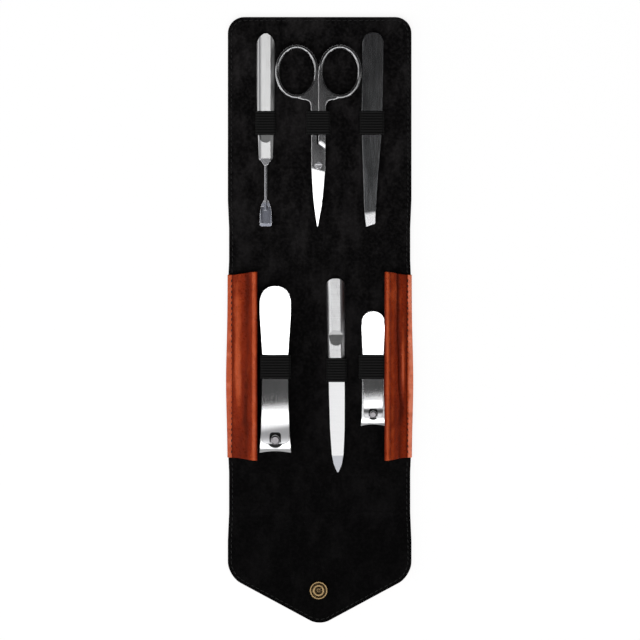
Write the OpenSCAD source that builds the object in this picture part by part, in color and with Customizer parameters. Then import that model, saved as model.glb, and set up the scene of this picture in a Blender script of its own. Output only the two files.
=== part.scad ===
// Manicure set case: a folding leather case, shown open and face up, with its seven steel tools.
// Millimetres. X runs across the case, Y along it (+Y is the top edge), Z is up.
// The origin is the centre of the open case's footprint, at the lowest point it rests on.

/* [Case] */
// Width of the case
case_w = 90; // [88:1:110]
// Height of the room between the linings when the case is closed
case_gap = 15.5; // [15:0.5:20]
// Length of the back panel
back_len = 104.15; // [104:0.05:120]
// Length of the closing flap, from its fold to its tip
flap_len = 54.1; // [52:0.1:62]
// How much shorter the front panel is than the back panel
end_clear = 0.5; // [0.3:0.1:2]
// Room left over the front panel's leather for the snap when closed
snap_room = 2; // [1.8:0.1:3]
// How far each side draws in beside a fold
fold_nip = 0.6; // [0:0.1:1.5]
// Length over which a side draws in beside a fold
nip_len = 14; // [6:1:20]
// Corner radius of the top edge
top_corner_r = 8; // [2:0.5:14]
// Corner radius where the flap's sides turn to its point
shoulder_r = 12; // [4:0.5:14]
// Radius of the flap's rounded point
tip_r = 9.6; // [3:0.2:14]
// Slope of the flap's pointed sides
tip_slope = 28.3; // [20:0.1:40]

/* [Sheets] */
// Thickness of the outer leather
leather_t = 1.1; // [0.8:0.1:1.6]
// Thickness of the stiffening boards
board_t = 0.4; // [0.3:0.1:0.8]
// Thickness of the suede lining
lining_t = 0.6; // [0.4:0.1:1]
// Width of the sewn margin outside the boards
sewn_margin = 3.4; // [2.4:0.2:6]
// Gap left in the sheets at each fold
fold_clear = 0.1; // [0.05:0.01:0.2]

/* [Gussets] */
// Length of a side wall along the case
gusset_len = 89.6; // [60:1:92]
// Y of a side wall's middle
gusset_y = -22.6; // [-24:0.2:-20]
// Width of a side wall from its fold to its free edge
gusset_wall_w = 13.4; // [12:0.1:14.2]
// Thickness of a side wall
gusset_t = 1.3; // [1:0.1:1.8]
// Distance of a side wall's fold from the middle of the case
gusset_fold_x = 42.4; // [41.8:0.1:43]
// Lean of the left side wall above the lining
gusset_lean_left = 32; // [30:1:60]
// Lean of the right side wall above the lining
gusset_lean_right = 38; // [38:1:60]
// How much longer the free edge is at each end than the sewn edge
gusset_flare = 1.4; // [0:0.1:3]

/* [Loops] */
// Width of the elastic loops along the tools
loop_len = 11.8; // [8:0.2:14]
// Thickness of the elastic
loop_t = 0.65; // [0.4:0.05:1]
// Room between a loop and the tool in it
loop_fit = 0.15; // [0.1:0.05:0.3]

/* [Snap] */
// Radius of the cap on the flap's outer face
cap_r = 6; // [5:0.5:8]
// Height of the domed cap
cap_h = 1.6; // [1.2:0.1:1.6]
// Radius of the socket's ring
socket_r = 4.55; // [4:0.05:6]
// Height of the socket over the lining
socket_h = 1.5; // [1.2:0.1:1.6]
// Distance of the socket from the flap's fold
socket_from_fold = 38.1; // [30:0.1:42]
// Radius of the stud's head
stud_r = 1.6; // [1.4:0.1:2.2]
// Height of the stud under the front panel's leather
stud_h = 1.6; // [1.4:0.1:1.8]
// Radial room between the stud's head and the socket
snap_fit = 0.1; // [0.05:0.01:0.15]

/* [Tools] */
// Gap between a tool and the lining it lies on
tool_clear = 0.1; // [0.05:0.05:0.3]
// X of the cuticle pusher
pusher_x = -26.4; // [-28:0.1:-26]
// Y of the pusher's handle end
pusher_top = 140.3; // [138:0.1:141]
// Length of the pusher
pusher_len = 94.6; // [85:0.1:94.8]
// Length of the pusher's pressed handle
pusher_handle_len = 64.4; // [60:0.1:66]
// Width of the pusher's handle
pusher_w = 9; // [7:0.1:9]
// Height of the pusher's half round handle
pusher_h = 1.95; // [1.7:0.05:2]
// Width of the flat along the top of the pusher's handle
pusher_flat = 4.6; // [3:0.1:6]
// Width of the pusher's blade
pusher_blade_w = 5.9; // [4:0.1:7]
// Diameter of the pusher's stem
pusher_stem_d = 1.8; // [1.4:0.1:1.9]
// Thickness of the sheet that the two handles are pressed from
handle_sheet_t = 0.8; // [0.6:0.05:0.9]
// X of the nail file
file_x = 7.7; // [6:0.1:9]
// Y of the file's handle end
file_top = 20.3; // [18:0.1:20.4]
// Length of the nail file
file_len = 94.8; // [85:0.1:94.8]
// Width of the file's handle
file_w = 9.6; // [8:0.1:10]
// Height of the file's half round handle
file_h = 2.5; // [2:0.1:3]
// Width of the flat along the top of the file's handle
file_flat = 4.4; // [3:0.1:6]
// Width of the file's blade
file_blade_w = 7.7; // [6:0.1:8]
// Thickness of the file's blade
file_blade_t = 0.9; // [0.8:0.05:1]
// Turn of the file as it lies in its loop
file_turn = 0.75; // [0:0.05:1]

/* [Tweezers] */
// X of the tweezers
tweezers_x = 26.2; // [26.1:0.1:26.8]
// Y of the tweezers' joined end
tweezers_top = 140.8; // [138:0.1:141]
// Length of the tweezers
tweezers_len = 95.2; // [88:0.1:95.4]
// Width of an arm
tweezers_w = 10; // [8:0.1:10.2]
// Width of an arm at its tip
tweezers_tip_w = 4.7; // [3:0.1:6]
// Thickness of an arm
tweezers_t = 0.9; // [0.7:0.05:1]
// Distance of the weld from the joined end
weld_from_end = 6; // [4:0.5:10]
// Gap between the arms at the weld
weld_gap = 0.5; // [0.4:0.05:0.6]
// Gap between the tips as the loop holds them
tweezers_tip_gap = 1.6; // [1:0.1:2]

/* [Scissors] */
// X of the scissors' screw
scissors_x = -0.6; // [-1:0.1:0]
// Y of the scissors' screw
screw_y = 75.7; // [74:0.1:78]
// Distance from the screw to the blades' tips
blade_len = 30; // [24:0.1:30]
// Distance from the screw to the middle of a finger ring
ring_from_screw = 45.8; // [40:0.1:47]
// Outer width of a finger ring
ring_w = 21.1; // [19:0.1:21.1]
// Outer length of a finger ring
ring_l = 26.4; // [24:0.1:28]
// Width of a finger ring's band
ring_band = 1.8; // [1.4:0.1:2.4]
// Thickness of the scissors' handles
scissors_t = 1.9; // [1.6:0.1:2]
// Height of the handles over the lining
scissors_lift = 2.3; // [2.2:0.1:2.6]
// Thickness of a blade
blade_t = 1.3; // [1:0.1:1.4]
// Room between the two blades
blade_clear = 0.12; // [0.08:0.01:0.15]
// Width of the closed blades at the screw
blade_w = 6.6; // [5.5:0.1:7]
// How far the blades curve down at their tips
blade_drop = 1.9; // [1:0.1:2.1]
// Distance below the screw at which the blades start to curve
blade_bend_from = 2.4; // [1:0.1:8]
// Length of the ramp at the end of a shank
ramp_len = 2; // [0.8:0.1:2.4]
// Radius of the screw's head
screw_head_r = 1.9; // [1.6:0.1:2.2]
// Radius of the screw's shank
screw_r = 1.1; // [0.9:0.05:1.3]

/* [Clippers] */
// X of the large clipper
large_x = -21.7; // [-22:0.1:-20]
// Y of the large clipper's tail
large_top = 16.7; // [14:0.1:18]
// Length of the large clipper
large_len = 81.8; // [75:0.1:84]
// Thickness of the large clipper's arms
large_arm_t = 1.5; // [1.3:0.1:1.6]
// Width of the large clipper's jaws
large_jaw_w = 15.7; // [14:0.1:15.8]
// X of the small clipper
small_x = 26.2; // [25.5:0.1:26.8]
// Y of the small clipper's tail
small_top = 4.3; // [2:0.1:6]
// Length of the small clipper
small_len = 56.3; // [52:0.1:60]
// Thickness of the small clipper's arms
small_arm_t = 1.1; // [1:0.1:1.2]
// Width of the small clipper's jaws
small_jaw_w = 12.5; // [11:0.1:12.8]
// Gap between a clipper's cutting edges, as a share of its arm's thickness
jaw_gape = 1.4; // [1:0.1:1.5]
// Room between a clipper's upper arm and its lever's bar
bar_lift = 0.9; // [0.5:0.1:1]
// Running room round a clipper's pin and rivet
pin_fit = 0.08; // [0.05:0.01:0.1]

/* [Hidden] */
$fn = 64;
eps = 0.01;

// Levels of the sheets, from the stud's face at zero
leather_z = stud_h;
board_z = leather_z + leather_t;
lining_z = board_z + board_t;
top_z = lining_z + lining_t;
panel_t = top_z - leather_z;
tool_z = top_z + tool_clear;

// Folds along Y, worked out so that the open case is centred and the closed case meets
front_len = back_len - end_clear;
lower_spine_len = case_gap + panel_t + snap_room;
case_len = front_len + case_gap + back_len + lower_spine_len + flap_len;
top_edge_y = case_len / 2;
front_fold_y = top_edge_y - front_len;
back_fold_y = front_fold_y - case_gap;
lower_fold_y = back_fold_y - back_len;
flap_fold_y = lower_fold_y - lower_spine_len;
tip_y = flap_fold_y - flap_len;
socket_y = flap_fold_y - socket_from_fold;
stud_y = front_fold_y + back_fold_y - lower_fold_y - socket_from_fold;
snap_x = -0.5;

// ---------- outlines ----------

function unit(v) = v / norm(v);

// The arc that replaces a corner between two neighbours; a corner is [x, y, radius]
function corner_arc(before, corner, after) =
    let (
        here = [corner.x, corner.y],
        u = unit([before.x, before.y] - here),
        w = unit([after.x, after.y] - here),
        half = acos(u * w) / 2,
        r = corner[2],
        centre = here + unit(u + w) * r / sin(half),
        start = here + u * r / tan(half) - centre,
        first = atan2(start.y, start.x),
        turn = (u.x * w.y - u.y * w.x > 0 ? -1 : 1) * (180 - 2 * half),
        steps = max(3, ceil(abs(turn) / 9))
    )
    r <= 0 ? [here] : [for (i = [0:steps]) let (a = first + turn * i / steps) centre + r * [cos(a), sin(a)]];

// A closed outline from corners with radii
function rounded(corners) =
    let (n = len(corners))
    [for (i = [0:n - 1]) each corner_arc(corners[(i + n - 1) % n], corners[i], corners[(i + 1) % n])];

// The right half of an outline, given from top to bottom, joined to its mirror image
function mirrored(half) = concat(half, [for (i = [len(half) - 1:-1:0]) [-half[i].x, half[i].y, half[i][2]]]);

// A smooth line through points, in a few steps from each to the next
function smooth_line(points, steps) =
    let (n = len(points) - 1)
    concat([for (i = [0:n - 1], k = [0:steps - 1])
        let (
            t = k / steps, a = points[max(i - 1, 0)], b = points[i],
            c = points[i + 1], d = points[min(i + 2, n)]
        )
        (2 * b + (c - a) * t + (2 * a - 5 * b + 4 * c - d) * t * t + (3 * b - a - 3 * c + d) * t * t * t) / 2
    ], [points[n]]);

module slab(outline, z, t) {
    translate([0, 0, z]) linear_extrude(t) polygon(rounded(outline));
}

// A profile of Y and Z, run along X
module across(w) {
    rotate([90, 0, 90]) linear_extrude(w, center = true) children();
}

// A profile of X and Z, run along -Y from y = 0
module along(length) {
    rotate([90, 0, 0]) linear_extrude(length) children();
}

// ---------- case panels ----------

half_w = case_w / 2;
nip_w = half_w - fold_nip;

function front_outline(inset = 0) = mirrored([
    [half_w - inset, top_edge_y - inset, max(top_corner_r - inset, 0.5)],
    [half_w - inset, front_fold_y + nip_len, 0],
    [nip_w - inset, front_fold_y + fold_clear / 2 + inset, 0]
]);

function back_outline(inset = 0) = mirrored([
    [nip_w - inset, back_fold_y - fold_clear / 2 - inset, 0],
    [half_w - inset, back_fold_y - nip_len, 0],
    [half_w - inset, lower_fold_y + nip_len, 0],
    [nip_w - inset, lower_fold_y + fold_clear / 2 + inset, 0]
]);

function spine_outline(y_high, y_low) = mirrored([
    [nip_w, y_high - fold_clear / 2, 0],
    [nip_w, y_low + fold_clear / 2, 0]
]);

// The unrounded point of the flap lies beyond its rounded tip
apex_y = tip_y - tip_r * (1 / cos(tip_slope) - 1);
shoulder_y = apex_y + half_w * tan(tip_slope);

function flap_outline(inset = 0) =
    let (slant = inset / cos(tip_slope), side = half_w - inset)
    [
        [nip_w - inset, flap_fold_y - fold_clear / 2 - inset, 0],
        [side, flap_fold_y - nip_len, 0],
        [side, shoulder_y + slant - inset * tan(tip_slope), shoulder_r - inset],
        [0, apex_y + slant, tip_r - inset],
        [-side, shoulder_y + slant - inset * tan(tip_slope), shoulder_r - inset],
        [-side, flap_fold_y - nip_len, 0],
        [-nip_w + inset, flap_fold_y - fold_clear / 2 - inset, 0]
    ];

// A lining covers its board and turns down round it to the leather
module panel_lining(outline, board_outline) {
    difference() {
        slab(outline, board_z, board_t + lining_t);
        slab(board_outline, board_z - eps, board_t + eps);
    }
}

post_r = 1.3;
post_seat_r = 4;

module back_leather() color("sienna") slab(back_outline(), leather_z, leather_t);
module back_board() color("tan") slab(back_outline(sewn_margin), board_z, board_t);
module back_lining() color("#1c1a19") panel_lining(back_outline(), back_outline(sewn_margin));

module upper_spine_leather() color("sienna")
    slab(spine_outline(front_fold_y, back_fold_y), leather_z, leather_t);
module upper_spine_lining() color("#1c1a19")
    slab(spine_outline(front_fold_y, back_fold_y), board_z, lining_t);

module front_leather() color("sienna") difference() {
    slab(front_outline(), leather_z, leather_t);
    translate([snap_x, stud_y, leather_z - 1]) cylinder(r = post_r, h = leather_t + 2);
}
module front_board() color("tan") difference() {
    slab(front_outline(sewn_margin), board_z, board_t);
    translate([snap_x, stud_y, board_z - 1]) cylinder(r = post_seat_r, h = board_t + 2);
}
module front_lining() color("#1c1a19") panel_lining(front_outline(), front_outline(sewn_margin));

module lower_spine_leather() color("sienna")
    slab(spine_outline(lower_fold_y, flap_fold_y), leather_z, leather_t);
module lower_spine_lining() color("#1c1a19")
    slab(spine_outline(lower_fold_y, flap_fold_y), board_z, lining_t);

module flap_hole() translate([snap_x, socket_y, 0]) cylinder(r = post_r, h = top_z + 1);
module flap_leather() color("sienna") difference() {
    slab(flap_outline(), leather_z, leather_t);
    flap_hole();
}
module flap_board() color("tan") difference() {
    slab(flap_outline(sewn_margin), board_z, board_t);
    flap_hole();
}
module flap_lining() color("#1c1a19") difference() {
    panel_lining(flap_outline(), flap_outline(sewn_margin));
    flap_hole();
}

// ---------- side walls ----------

// A wall turns about the middle of its own thickness, just clear of the lining
wall_root_r = gusset_t / 2;
wall_fold_z = top_z + wall_root_r + tool_clear;
wall_camber = 0.7;

// The wall's section: a strip of even thickness that bows up, with round edges
wall_steps = 16;
module wall_section() {
    reach = gusset_wall_w - wall_root_r;
    function bow(t) = [reach * t, wall_camber * sin(180 * t)];
    function slope(t) = atan(wall_camber * PI * cos(180 * t) / reach);
    function edge(t, turn) = bow(t) + wall_root_r * [cos(slope(t) + turn), sin(slope(t) + turn)];
    polygon([
        for (i = [0:wall_steps]) edge(i / wall_steps, 90),
        for (turn = [75:-15:-75]) edge(1, turn),
        for (i = [wall_steps:-1:0]) edge(i / wall_steps, -90),
        for (turn = [-105:-15:-255]) edge(0, turn)
    ]);
}

// side is -1 for the left wall and 1 for the right one
module gusset_wall(side, lean) {
    root_len = gusset_len;
    tip_len = gusset_len + 2 * gusset_flare;
    reach = gusset_wall_w * cos(lean);
    translate([side * gusset_fold_x, 0, wall_fold_z]) intersection() {
        translate([0, gusset_y + tip_len / 2, 0])
            along(tip_len) mirror([side > 0 ? 1 : 0, 0]) rotate(lean) wall_section();
        translate([0, gusset_y, -1]) linear_extrude(gusset_wall_w + 4) polygon([
            [side * wall_root_r * 2, root_len / 2], [-side * reach, tip_len / 2],
            [-side * (reach + 1), tip_len / 2], [-side * (reach + 1), -tip_len / 2],
            [-side * reach, -tip_len / 2], [side * wall_root_r * 2, -root_len / 2]
        ]);
    }
}

// The wall's sewn edge lies flat on the lining
module gusset_seam(side) {
    inner = gusset_fold_x + wall_root_r + fold_clear;
    translate([0, gusset_y, top_z]) linear_extrude(gusset_t) polygon([
        [side * inner, gusset_len / 2], [side * half_w, gusset_len / 2 - 0.5],
        [side * half_w, -gusset_len / 2 + 0.5], [side * inner, -gusset_len / 2]
    ]);
}

module gusset_seam_left() color("chocolate") gusset_seam(-1);
module gusset_seam_right() color("chocolate") gusset_seam(1);
module gusset_wall_left() color("chocolate") gusset_wall(-1, gusset_lean_left);
module gusset_wall_right() color("chocolate") gusset_wall(1, gusset_lean_right);

// ---------- elastic loops ----------

// An arch of elastic over a tool of top width top_w and height h, sewn down base_w apart
module elastic_loop(x, y, top_w, base_w, h) {
    inner_top = top_w / 2 + loop_fit;
    inner_base = max(base_w / 2 - loop_t, inner_top);
    outer_base = inner_base + loop_t;
    rise = h + tool_clear + loop_fit;
    color("#161616") translate([x, y + loop_len / 2, top_z]) along(loop_len) difference() {
        polygon(rounded(mirrored([
            [inner_top + loop_t * 0.8, rise + loop_t, loop_t * 1.4], [outer_base, 0, 0]
        ])));
        polygon(rounded(mirrored([[inner_top, rise, loop_t * 0.5], [inner_base, -eps, 0]])));
    }
}

upper_loop_y = 96.5;
lower_loop_y = -22.9;
file_loop_y = -24.5;

module pusher_loop() elastic_loop(pusher_x, upper_loop_y, pusher_w * 0.96, pusher_w * 1.08, pusher_h);
module scissors_loop() elastic_loop(scissors_x, upper_loop_y, 2 * shank_w, 12, scissors_lift + scissors_t);
module tweezers_loop()
    elastic_loop(tweezers_x + arm_shift * 0.58, upper_loop_y, tweezers_w - arm_shift * 0.3, 12.2,
        upper_arm_top(upper_loop_y - loop_len / 2));
module large_clipper_loop()
    elastic_loop(large_x, lower_loop_y, lever_waist(large) + 0.2, 15.3, stack_height(large, lower_loop_y));
module file_loop()
    elastic_loop(
        file_x + (file_top - file_loop_y) * tan(file_turn), file_loop_y, file_w * 0.87, 10.2, file_h
    );
module small_clipper_loop()
    elastic_loop(small_x, lower_loop_y, arm_waist(small) - 0.4, 14.2, stack_height(small, lower_loop_y));

// ---------- snap ----------

cap_rim = 0.5;
socket_hole_r = stud_r + snap_fit;
stud_base_r = 4.2;
stud_base_t = snap_room - socket_h - 0.1;

// Domed cap outside the flap, with the post that holds the socket
module snap_cap() color("#8c6b36") translate([snap_x, socket_y, 0]) {
    dome_h = cap_h - cap_rim;
    dome_r = (cap_r * cap_r + dome_h * dome_h) / (2 * dome_h);
    translate([0, 0, leather_z - cap_rim]) cylinder(r = cap_r, h = cap_rim);
    intersection() {
        translate([0, 0, leather_z - cap_h + dome_r]) sphere(r = dome_r, $fn = 128);
        translate([0, 0, leather_z - cap_h]) cylinder(r = cap_r, h = dome_h + eps);
    }
    translate([0, 0, leather_z - eps]) cylinder(r = post_r - 0.02, h = panel_t + 0.1);
}

// Ringed socket on the flap's lining
module snap_socket() color("#a07a3c") translate([snap_x, socket_y, top_z]) rotate_extrude() polygon([
    [socket_hole_r, 0], [socket_r, 0], [socket_r, socket_h * 0.55], [socket_r - 0.35, socket_h * 0.9],
    [socket_r - 0.8, socket_h * 0.9], [socket_r - 1.2, socket_h * 0.45],
    [socket_hole_r + 1.5, socket_h * 0.45], [socket_hole_r + 1.2, socket_h * 0.85],
    [socket_hole_r + 0.9, socket_h], [socket_hole_r + 0.35, socket_h], [socket_hole_r, socket_h * 0.8]
]);

// Stud outside the front panel, its base let in under the board's level by its own post
module snap_stud() color("#8c6b36") translate([snap_x, stud_y, 0]) rotate_extrude() polygon([
    [0, 0], [stud_r * 0.7, 0], [stud_r, 0.35], [stud_r, 0.65], [stud_r * 0.75, 0.95],
    [stud_r * 0.75, stud_h - stud_base_t], [stud_base_r - 0.3, stud_h - stud_base_t],
    [stud_base_r, stud_h - stud_base_t * 0.5], [stud_base_r, stud_h], [0, stud_h]
]);

// Flanged post that holds the stud from inside the front panel
module snap_post() color("#8c6b36") translate([snap_x, stud_y, 0]) {
    translate([0, 0, leather_z]) cylinder(r = post_r - 0.02, h = leather_t + eps);
    translate([0, 0, board_z]) cylinder(r = post_seat_r - 0.05, h = board_t);
}

// ---------- pressed handles ----------

// A pressed handle's section: an arc w wide, cut off flat at height h, or its hollow
module channel_section(w, h, flat, hollow = false) {
    drop = (w * w - flat * flat) / (8 * h) - h / 2;
    inset = hollow ? handle_sheet_t : 0;
    foot = hollow ? 1 : 0;
    intersection() {
        translate([0, -drop]) circle(r = norm([w / 2, drop]) - inset, $fn = 128);
        translate([-w / 2, -foot]) square([w, h - inset + foot]);
    }
}

// A thumb dish is round in plan; its floor rises to a near flat side and a steep side from a straight crease
dish_depth = 0.36;
dish_tilt = 8;
crease_at = 0.45;
module dish_cut(r, depth) {
    crease = crease_at * r;
    intersection() {
        cylinder(r = r, h = 3 * depth, center = true);
        across(3 * r) polygon([
            [crease, -depth], [r, 0], [r, 2 * depth], [-r, 2 * depth],
            [-r, (r + crease) * tan(dish_tilt) - depth]
        ]);
    }
}

// A pressed handle w wide and h high, with a thumb dish, running along -Y from y = 0
module channel(w, h, flat, length, dish_y, dish_r) {
    depth = dish_depth * h;
    difference() {
        union() {
            along(length) difference() {
                channel_section(w, h, flat);
                channel_section(w, h, flat, true);
            }
            intersection() {
                along(length) channel_section(w, h, flat);
                translate([0, dish_y, 0]) cylinder(r = dish_r + handle_sheet_t, h = h);
            }
        }
        translate([0, dish_y, h]) dish_cut(dish_r, depth);
        translate([0, dish_y, -eps]) cylinder(r = dish_r * 0.8, h = h - depth - handle_sheet_t * 0.9);
    }
}

pusher_neck_y = 3.6 - pusher_handle_len;
pusher_spade_y = 10.1 - pusher_len;

// The pusher's cupped blade: its thickness, the scoop's radius, depth and tilt, and the ground lip
cup_t = 1.15;
cup_r = 6.2;
cup_depth = 0.62;
cup_tilt = 2;
cup_lip = 1.6;
cup_lip_tilt = 18;

module cuticle_pusher() color("silver") translate([pusher_x, pusher_top, tool_z]) {
    half = pusher_w / 2;
    intersection() {
        channel(
            pusher_w, pusher_h, pusher_flat, pusher_handle_len, 14.2 - pusher_handle_len, pusher_w * 0.36
        );
        slab(mirrored([
            [half * 0.2, 0, half * 0.15], [half * 0.66, -half * 0.36, half * 0.5],
            [half, -half * 0.95, half],
            [half, -pusher_handle_len * 0.45, 40], [half * 0.84, -pusher_handle_len * 0.76, 30],
            [half * 0.74, pusher_neck_y - 0.7, 0.6], [pusher_stem_d, -pusher_handle_len + 1.5, 1.2],
            [pusher_stem_d * 0.6, -pusher_handle_len, 0]
        ]), -1, pusher_h + 2);
    }
    // stem, with a solid root inside the end of the channel
    translate([0, pusher_neck_y + 4, pusher_stem_d / 2]) rotate([90, 0, 0])
        cylinder(d = pusher_stem_d, h = pusher_neck_y - pusher_spade_y + 6);
    // cupped blade with a ground edge
    difference() {
        slab(mirrored([
            [pusher_stem_d / 2, pusher_spade_y + 3.2, 0.6], [pusher_blade_w * 0.27, pusher_spade_y + 1.8, 1],
            [pusher_blade_w * 0.41, pusher_spade_y - 0.3, 1.6],
            [pusher_blade_w * 0.47, pusher_spade_y - 3, 4],
            [pusher_blade_w / 2, -pusher_len + 1.6, 2], [pusher_blade_w / 2 - 0.1, -pusher_len + 0.2, 0.9]
        ]), 0, cup_t);
        // a scoop that is deepest by the stem
        translate([0, pusher_spade_y, cup_t - cup_depth + cup_r]) rotate([90 - cup_tilt, 0, 0])
            cylinder(r = cup_r, h = pusher_len, $fn = 96);
        translate([0, cup_lip - pusher_len, cup_t - cup_depth + 0.35]) rotate([cup_lip_tilt, 0, 0])
            translate([-pusher_blade_w, -4 * cup_lip, 0]) cube([2 * pusher_blade_w, 4 * cup_lip, 2]);
    }
}

file_handle_len = 44;
file_ramp = 5;

module nail_file() color("silver") translate([file_x, file_top, tool_z]) rotate(file_turn) {
    half = file_w / 2;
    // handle, closed down to the blade by a ramp under the loop
    intersection() {
        channel(
            file_w, file_h, file_flat, file_handle_len + file_ramp, -file_handle_len * 0.66, file_w * 0.39
        );
        slab(mirrored([
            [half, 0, half * 0.86], [half, -file_handle_len * 0.32, 20],
            [half * 0.85, -file_handle_len * 0.89, 0],
            [file_blade_w / 2, -file_handle_len - file_ramp, 0]
        ]), -1, file_h + 2);
        across(file_w * 2) polygon([
            [1, -1], [1, file_h + 1], [-file_handle_len + 1, file_h + 1], [-file_handle_len, file_h],
            [-file_handle_len - file_ramp, file_blade_t * 0.5], [-file_handle_len - file_ramp, -1]
        ]);
    }
    // flat blade with a ground point
    difference() {
        slab(mirrored([
            [file_blade_w / 2, -file_handle_len + 3, 0], [file_blade_w / 2, -file_len * 0.59, 10],
            [file_blade_w * 0.46, -file_len * 0.78, 30], [file_blade_w * 0.37, -file_len + 8.6, 14],
            [file_blade_w * 0.25, -file_len + 3.6, 5], [0.35, -file_len, 0.3]
        ]), 0, file_blade_t);
        // a shallow groove lies under the blade's root
        translate([0, -file_handle_len - 3, -file_w * 0.98]) rotate([90, 0, 0])
            cylinder(r = file_w, h = 8, $fn = 96);
    }
}

// ---------- tweezers ----------

// Height of the upper arm's top face over the lining at a place along Y
tweezers_hinge_y = tweezers_top - weld_from_end;
arm_slope = atan((tweezers_tip_gap - weld_gap) / (tweezers_len - weld_from_end));
tweezers_gap_z = tweezers_t + weld_gap;
arm_shift = -1;
function upper_arm_top(y) = 2 * tweezers_t + weld_gap + (tweezers_hinge_y - y) * tan(arm_slope);

// One arm, face up, from y = 0 at the joined end; its tip is slanted and turned in
module tweezers_arm() {
    half = tweezers_w / 2;
    shift = arm_shift;
    linear_extrude(tweezers_t) polygon(rounded([
        [half, 0, half * 0.96], [half + shift * 0.6, -tweezers_len * 0.48, 0],
        [half * 0.62 + shift, -tweezers_len * 0.755, 0], [half * 0.44 + shift, -tweezers_len * 0.925, 0],
        [tweezers_tip_w / 2 + shift - 0.35, -tweezers_len + 1.6, 0.3],
        [-tweezers_tip_w / 2 + shift - 0.1, -tweezers_len, 0.3],
        [-half * 0.64 + shift, -tweezers_len * 0.925, 0], [-half * 0.74 + shift, -tweezers_len * 0.755, 0],
        [-half + shift * 0.6, -tweezers_len * 0.48, 0], [-half, 0, half * 0.96]
    ]));
}

// The turned-in edge that meets the other arm's, under the arm's face
module tweezers_grip(depth) {
    intersection() {
        translate([arm_shift, -tweezers_len, 0]) across(tweezers_w)
            polygon([[0, -depth], [1.7, -depth], [7, eps], [0, eps]]);
        translate([0, 0, -depth]) linear_extrude(depth + eps) polygon([
            [tweezers_tip_w / 2 + arm_shift - 0.5, -tweezers_len + 1.6],
            [tweezers_w * 0.22 + arm_shift - 0.1, -tweezers_len + 8],
            [-tweezers_w * 0.32 + arm_shift + 0.1, -tweezers_len + 8],
            [-tweezers_tip_w / 2 + arm_shift + 0.1, -tweezers_len + 0.1]
        ]);
    }
}

grip_depth = 0.45;

module tweezers_lower_arm() color("dimgray") translate([tweezers_x, tweezers_top, tool_z]) {
    tweezers_arm();
    translate([0, 0, tweezers_t]) mirror([0, 0, 1]) tweezers_grip(grip_depth);
}

module tweezers_upper_arm() color("gray")
    translate([tweezers_x, tweezers_hinge_y, tool_z + tweezers_gap_z + 0.03])
    rotate([-arm_slope, 0, 0]) translate([0, weld_from_end, 0]) {
        tweezers_arm();
        tweezers_grip(grip_depth);
    }

// The weld that joins the arms, a bead across their width
module tweezers_weld() color("dimgray")
    translate([tweezers_x, tweezers_hinge_y, tool_z + tweezers_t + weld_gap / 2])
    rotate([0, 90, 0]) cylinder(d = weld_gap, h = tweezers_w * 0.75, center = true);

// ---------- scissors ----------

shank_w = 3.55;
seam = 0.1;
scissors_z = top_z + scissors_lift;
scissors_mid = scissors_lift + scissors_t / 2;

// An oval finger ring, long side along Y: a bevelled band carried round an ellipse
ring_steps = 56;
ring_bevel = 0.6;

module finger_ring() {
    a = (ring_w - ring_band) / 2;
    b = (ring_l - ring_band) / 2;
    w = ring_band / 2;
    h = scissors_t / 2;
    c = ring_bevel;
    d = ring_bevel * 0.5;
    section = [
        [-w, -h + d], [-w + c, -h], [w - c, -h], [w, -h + d],
        [w, h - d], [w - c, h], [-w + c, h], [-w, h - d]
    ];
    sides = len(section);
    function station(i) =
        let (t = 360 * i / ring_steps, out = unit([cos(t) / a, sin(t) / b]))
        [for (q = section) [a * cos(t) + out.x * q.x, b * sin(t) + out.y * q.x, q.y]];
    polyhedron(
        points = [for (i = [0:ring_steps - 1]) each station(i)],
        faces = [
            for (i = [0:ring_steps - 1], k = [0:sides - 1])
            let (j = (i + 1) % ring_steps, m = (k + 1) % sides)
            [i * sides + k, i * sides + m, j * sides + m, j * sides + k]
        ]
    );
}

ring_x = ring_w / 2 + seam / 2;

// The shank of one half, from its ring down to the screw; side is -1 for the left half
module shank(side) {
    inner = side * seam / 2;
    outer = side * shank_w;
    high = ring_from_screw - ring_l / 2;
    translate([0, 0, -scissors_t / 2]) linear_extrude(scissors_t) polygon(rounded([
        [inner, high + 14, 0], [side * 1.7, high + 13, 0], [side * 2.2, high + 6, 6],
        [side * 8.5, high + 0.9, 1.5], [side * 10, high + 0.3, 0], [side * 8, high - 0.4, 3],
        [outer + side * 0.15, high - 0.9, 3], [outer, high - 8, 0], [outer - side * 0.2, 6, 0],
        [inner, 6, 0]
    ]));
}

// Plan of the closed blades from just above the screw to their tips
module blade_plan() {
    half = blade_w / 2;
    polygon(rounded([
        [half + 0.1, 12, 0], [half, -2, 30], [half * 0.72, -blade_len * 0.44, 40],
        [half * 0.47, -blade_len * 0.67, 30], [half * 0.19, -blade_len * 0.84, 20],
        [-0.2, -blade_len, 0.15], [-0.6, -blade_len, 0.15],
        [-half * 0.4, -blade_len * 0.84, 20], [-half * 0.62, -blade_len * 0.67, 40],
        [-half * 0.82, -blade_len * 0.44, 40], [-half - 0.05, -2, 30], [-half - 0.1, 12, 0]
    ]));
}

// Height that the blades' middle plane drops at a distance below the screw
function bend(s) =
    let (share = max(s - blade_bend_from, 0) / (blade_len - blade_bend_from))
    blade_drop * share * share;

// The side view of one blade, curved down to its tip and ground thinner on its outer face
module blade_profile(low, high) {
    stations = [for (i = [-13:1:blade_len]) i];
    function thin(s) = s < 8 ? 1 : 1 - 0.45 * (s - 8) / (blade_len - 8);
    outer_up = high > -low;
    polygon(concat(
        [for (s = stations) [-s, -bend(s) + high * (outer_up ? thin(s) : 1)]],
        [for (i = [len(stations) - 1:-1:0])
            let (s = stations[i]) [-s, -bend(s) + low * (outer_up ? 1 : thin(s))]]
    ));
}

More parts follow.
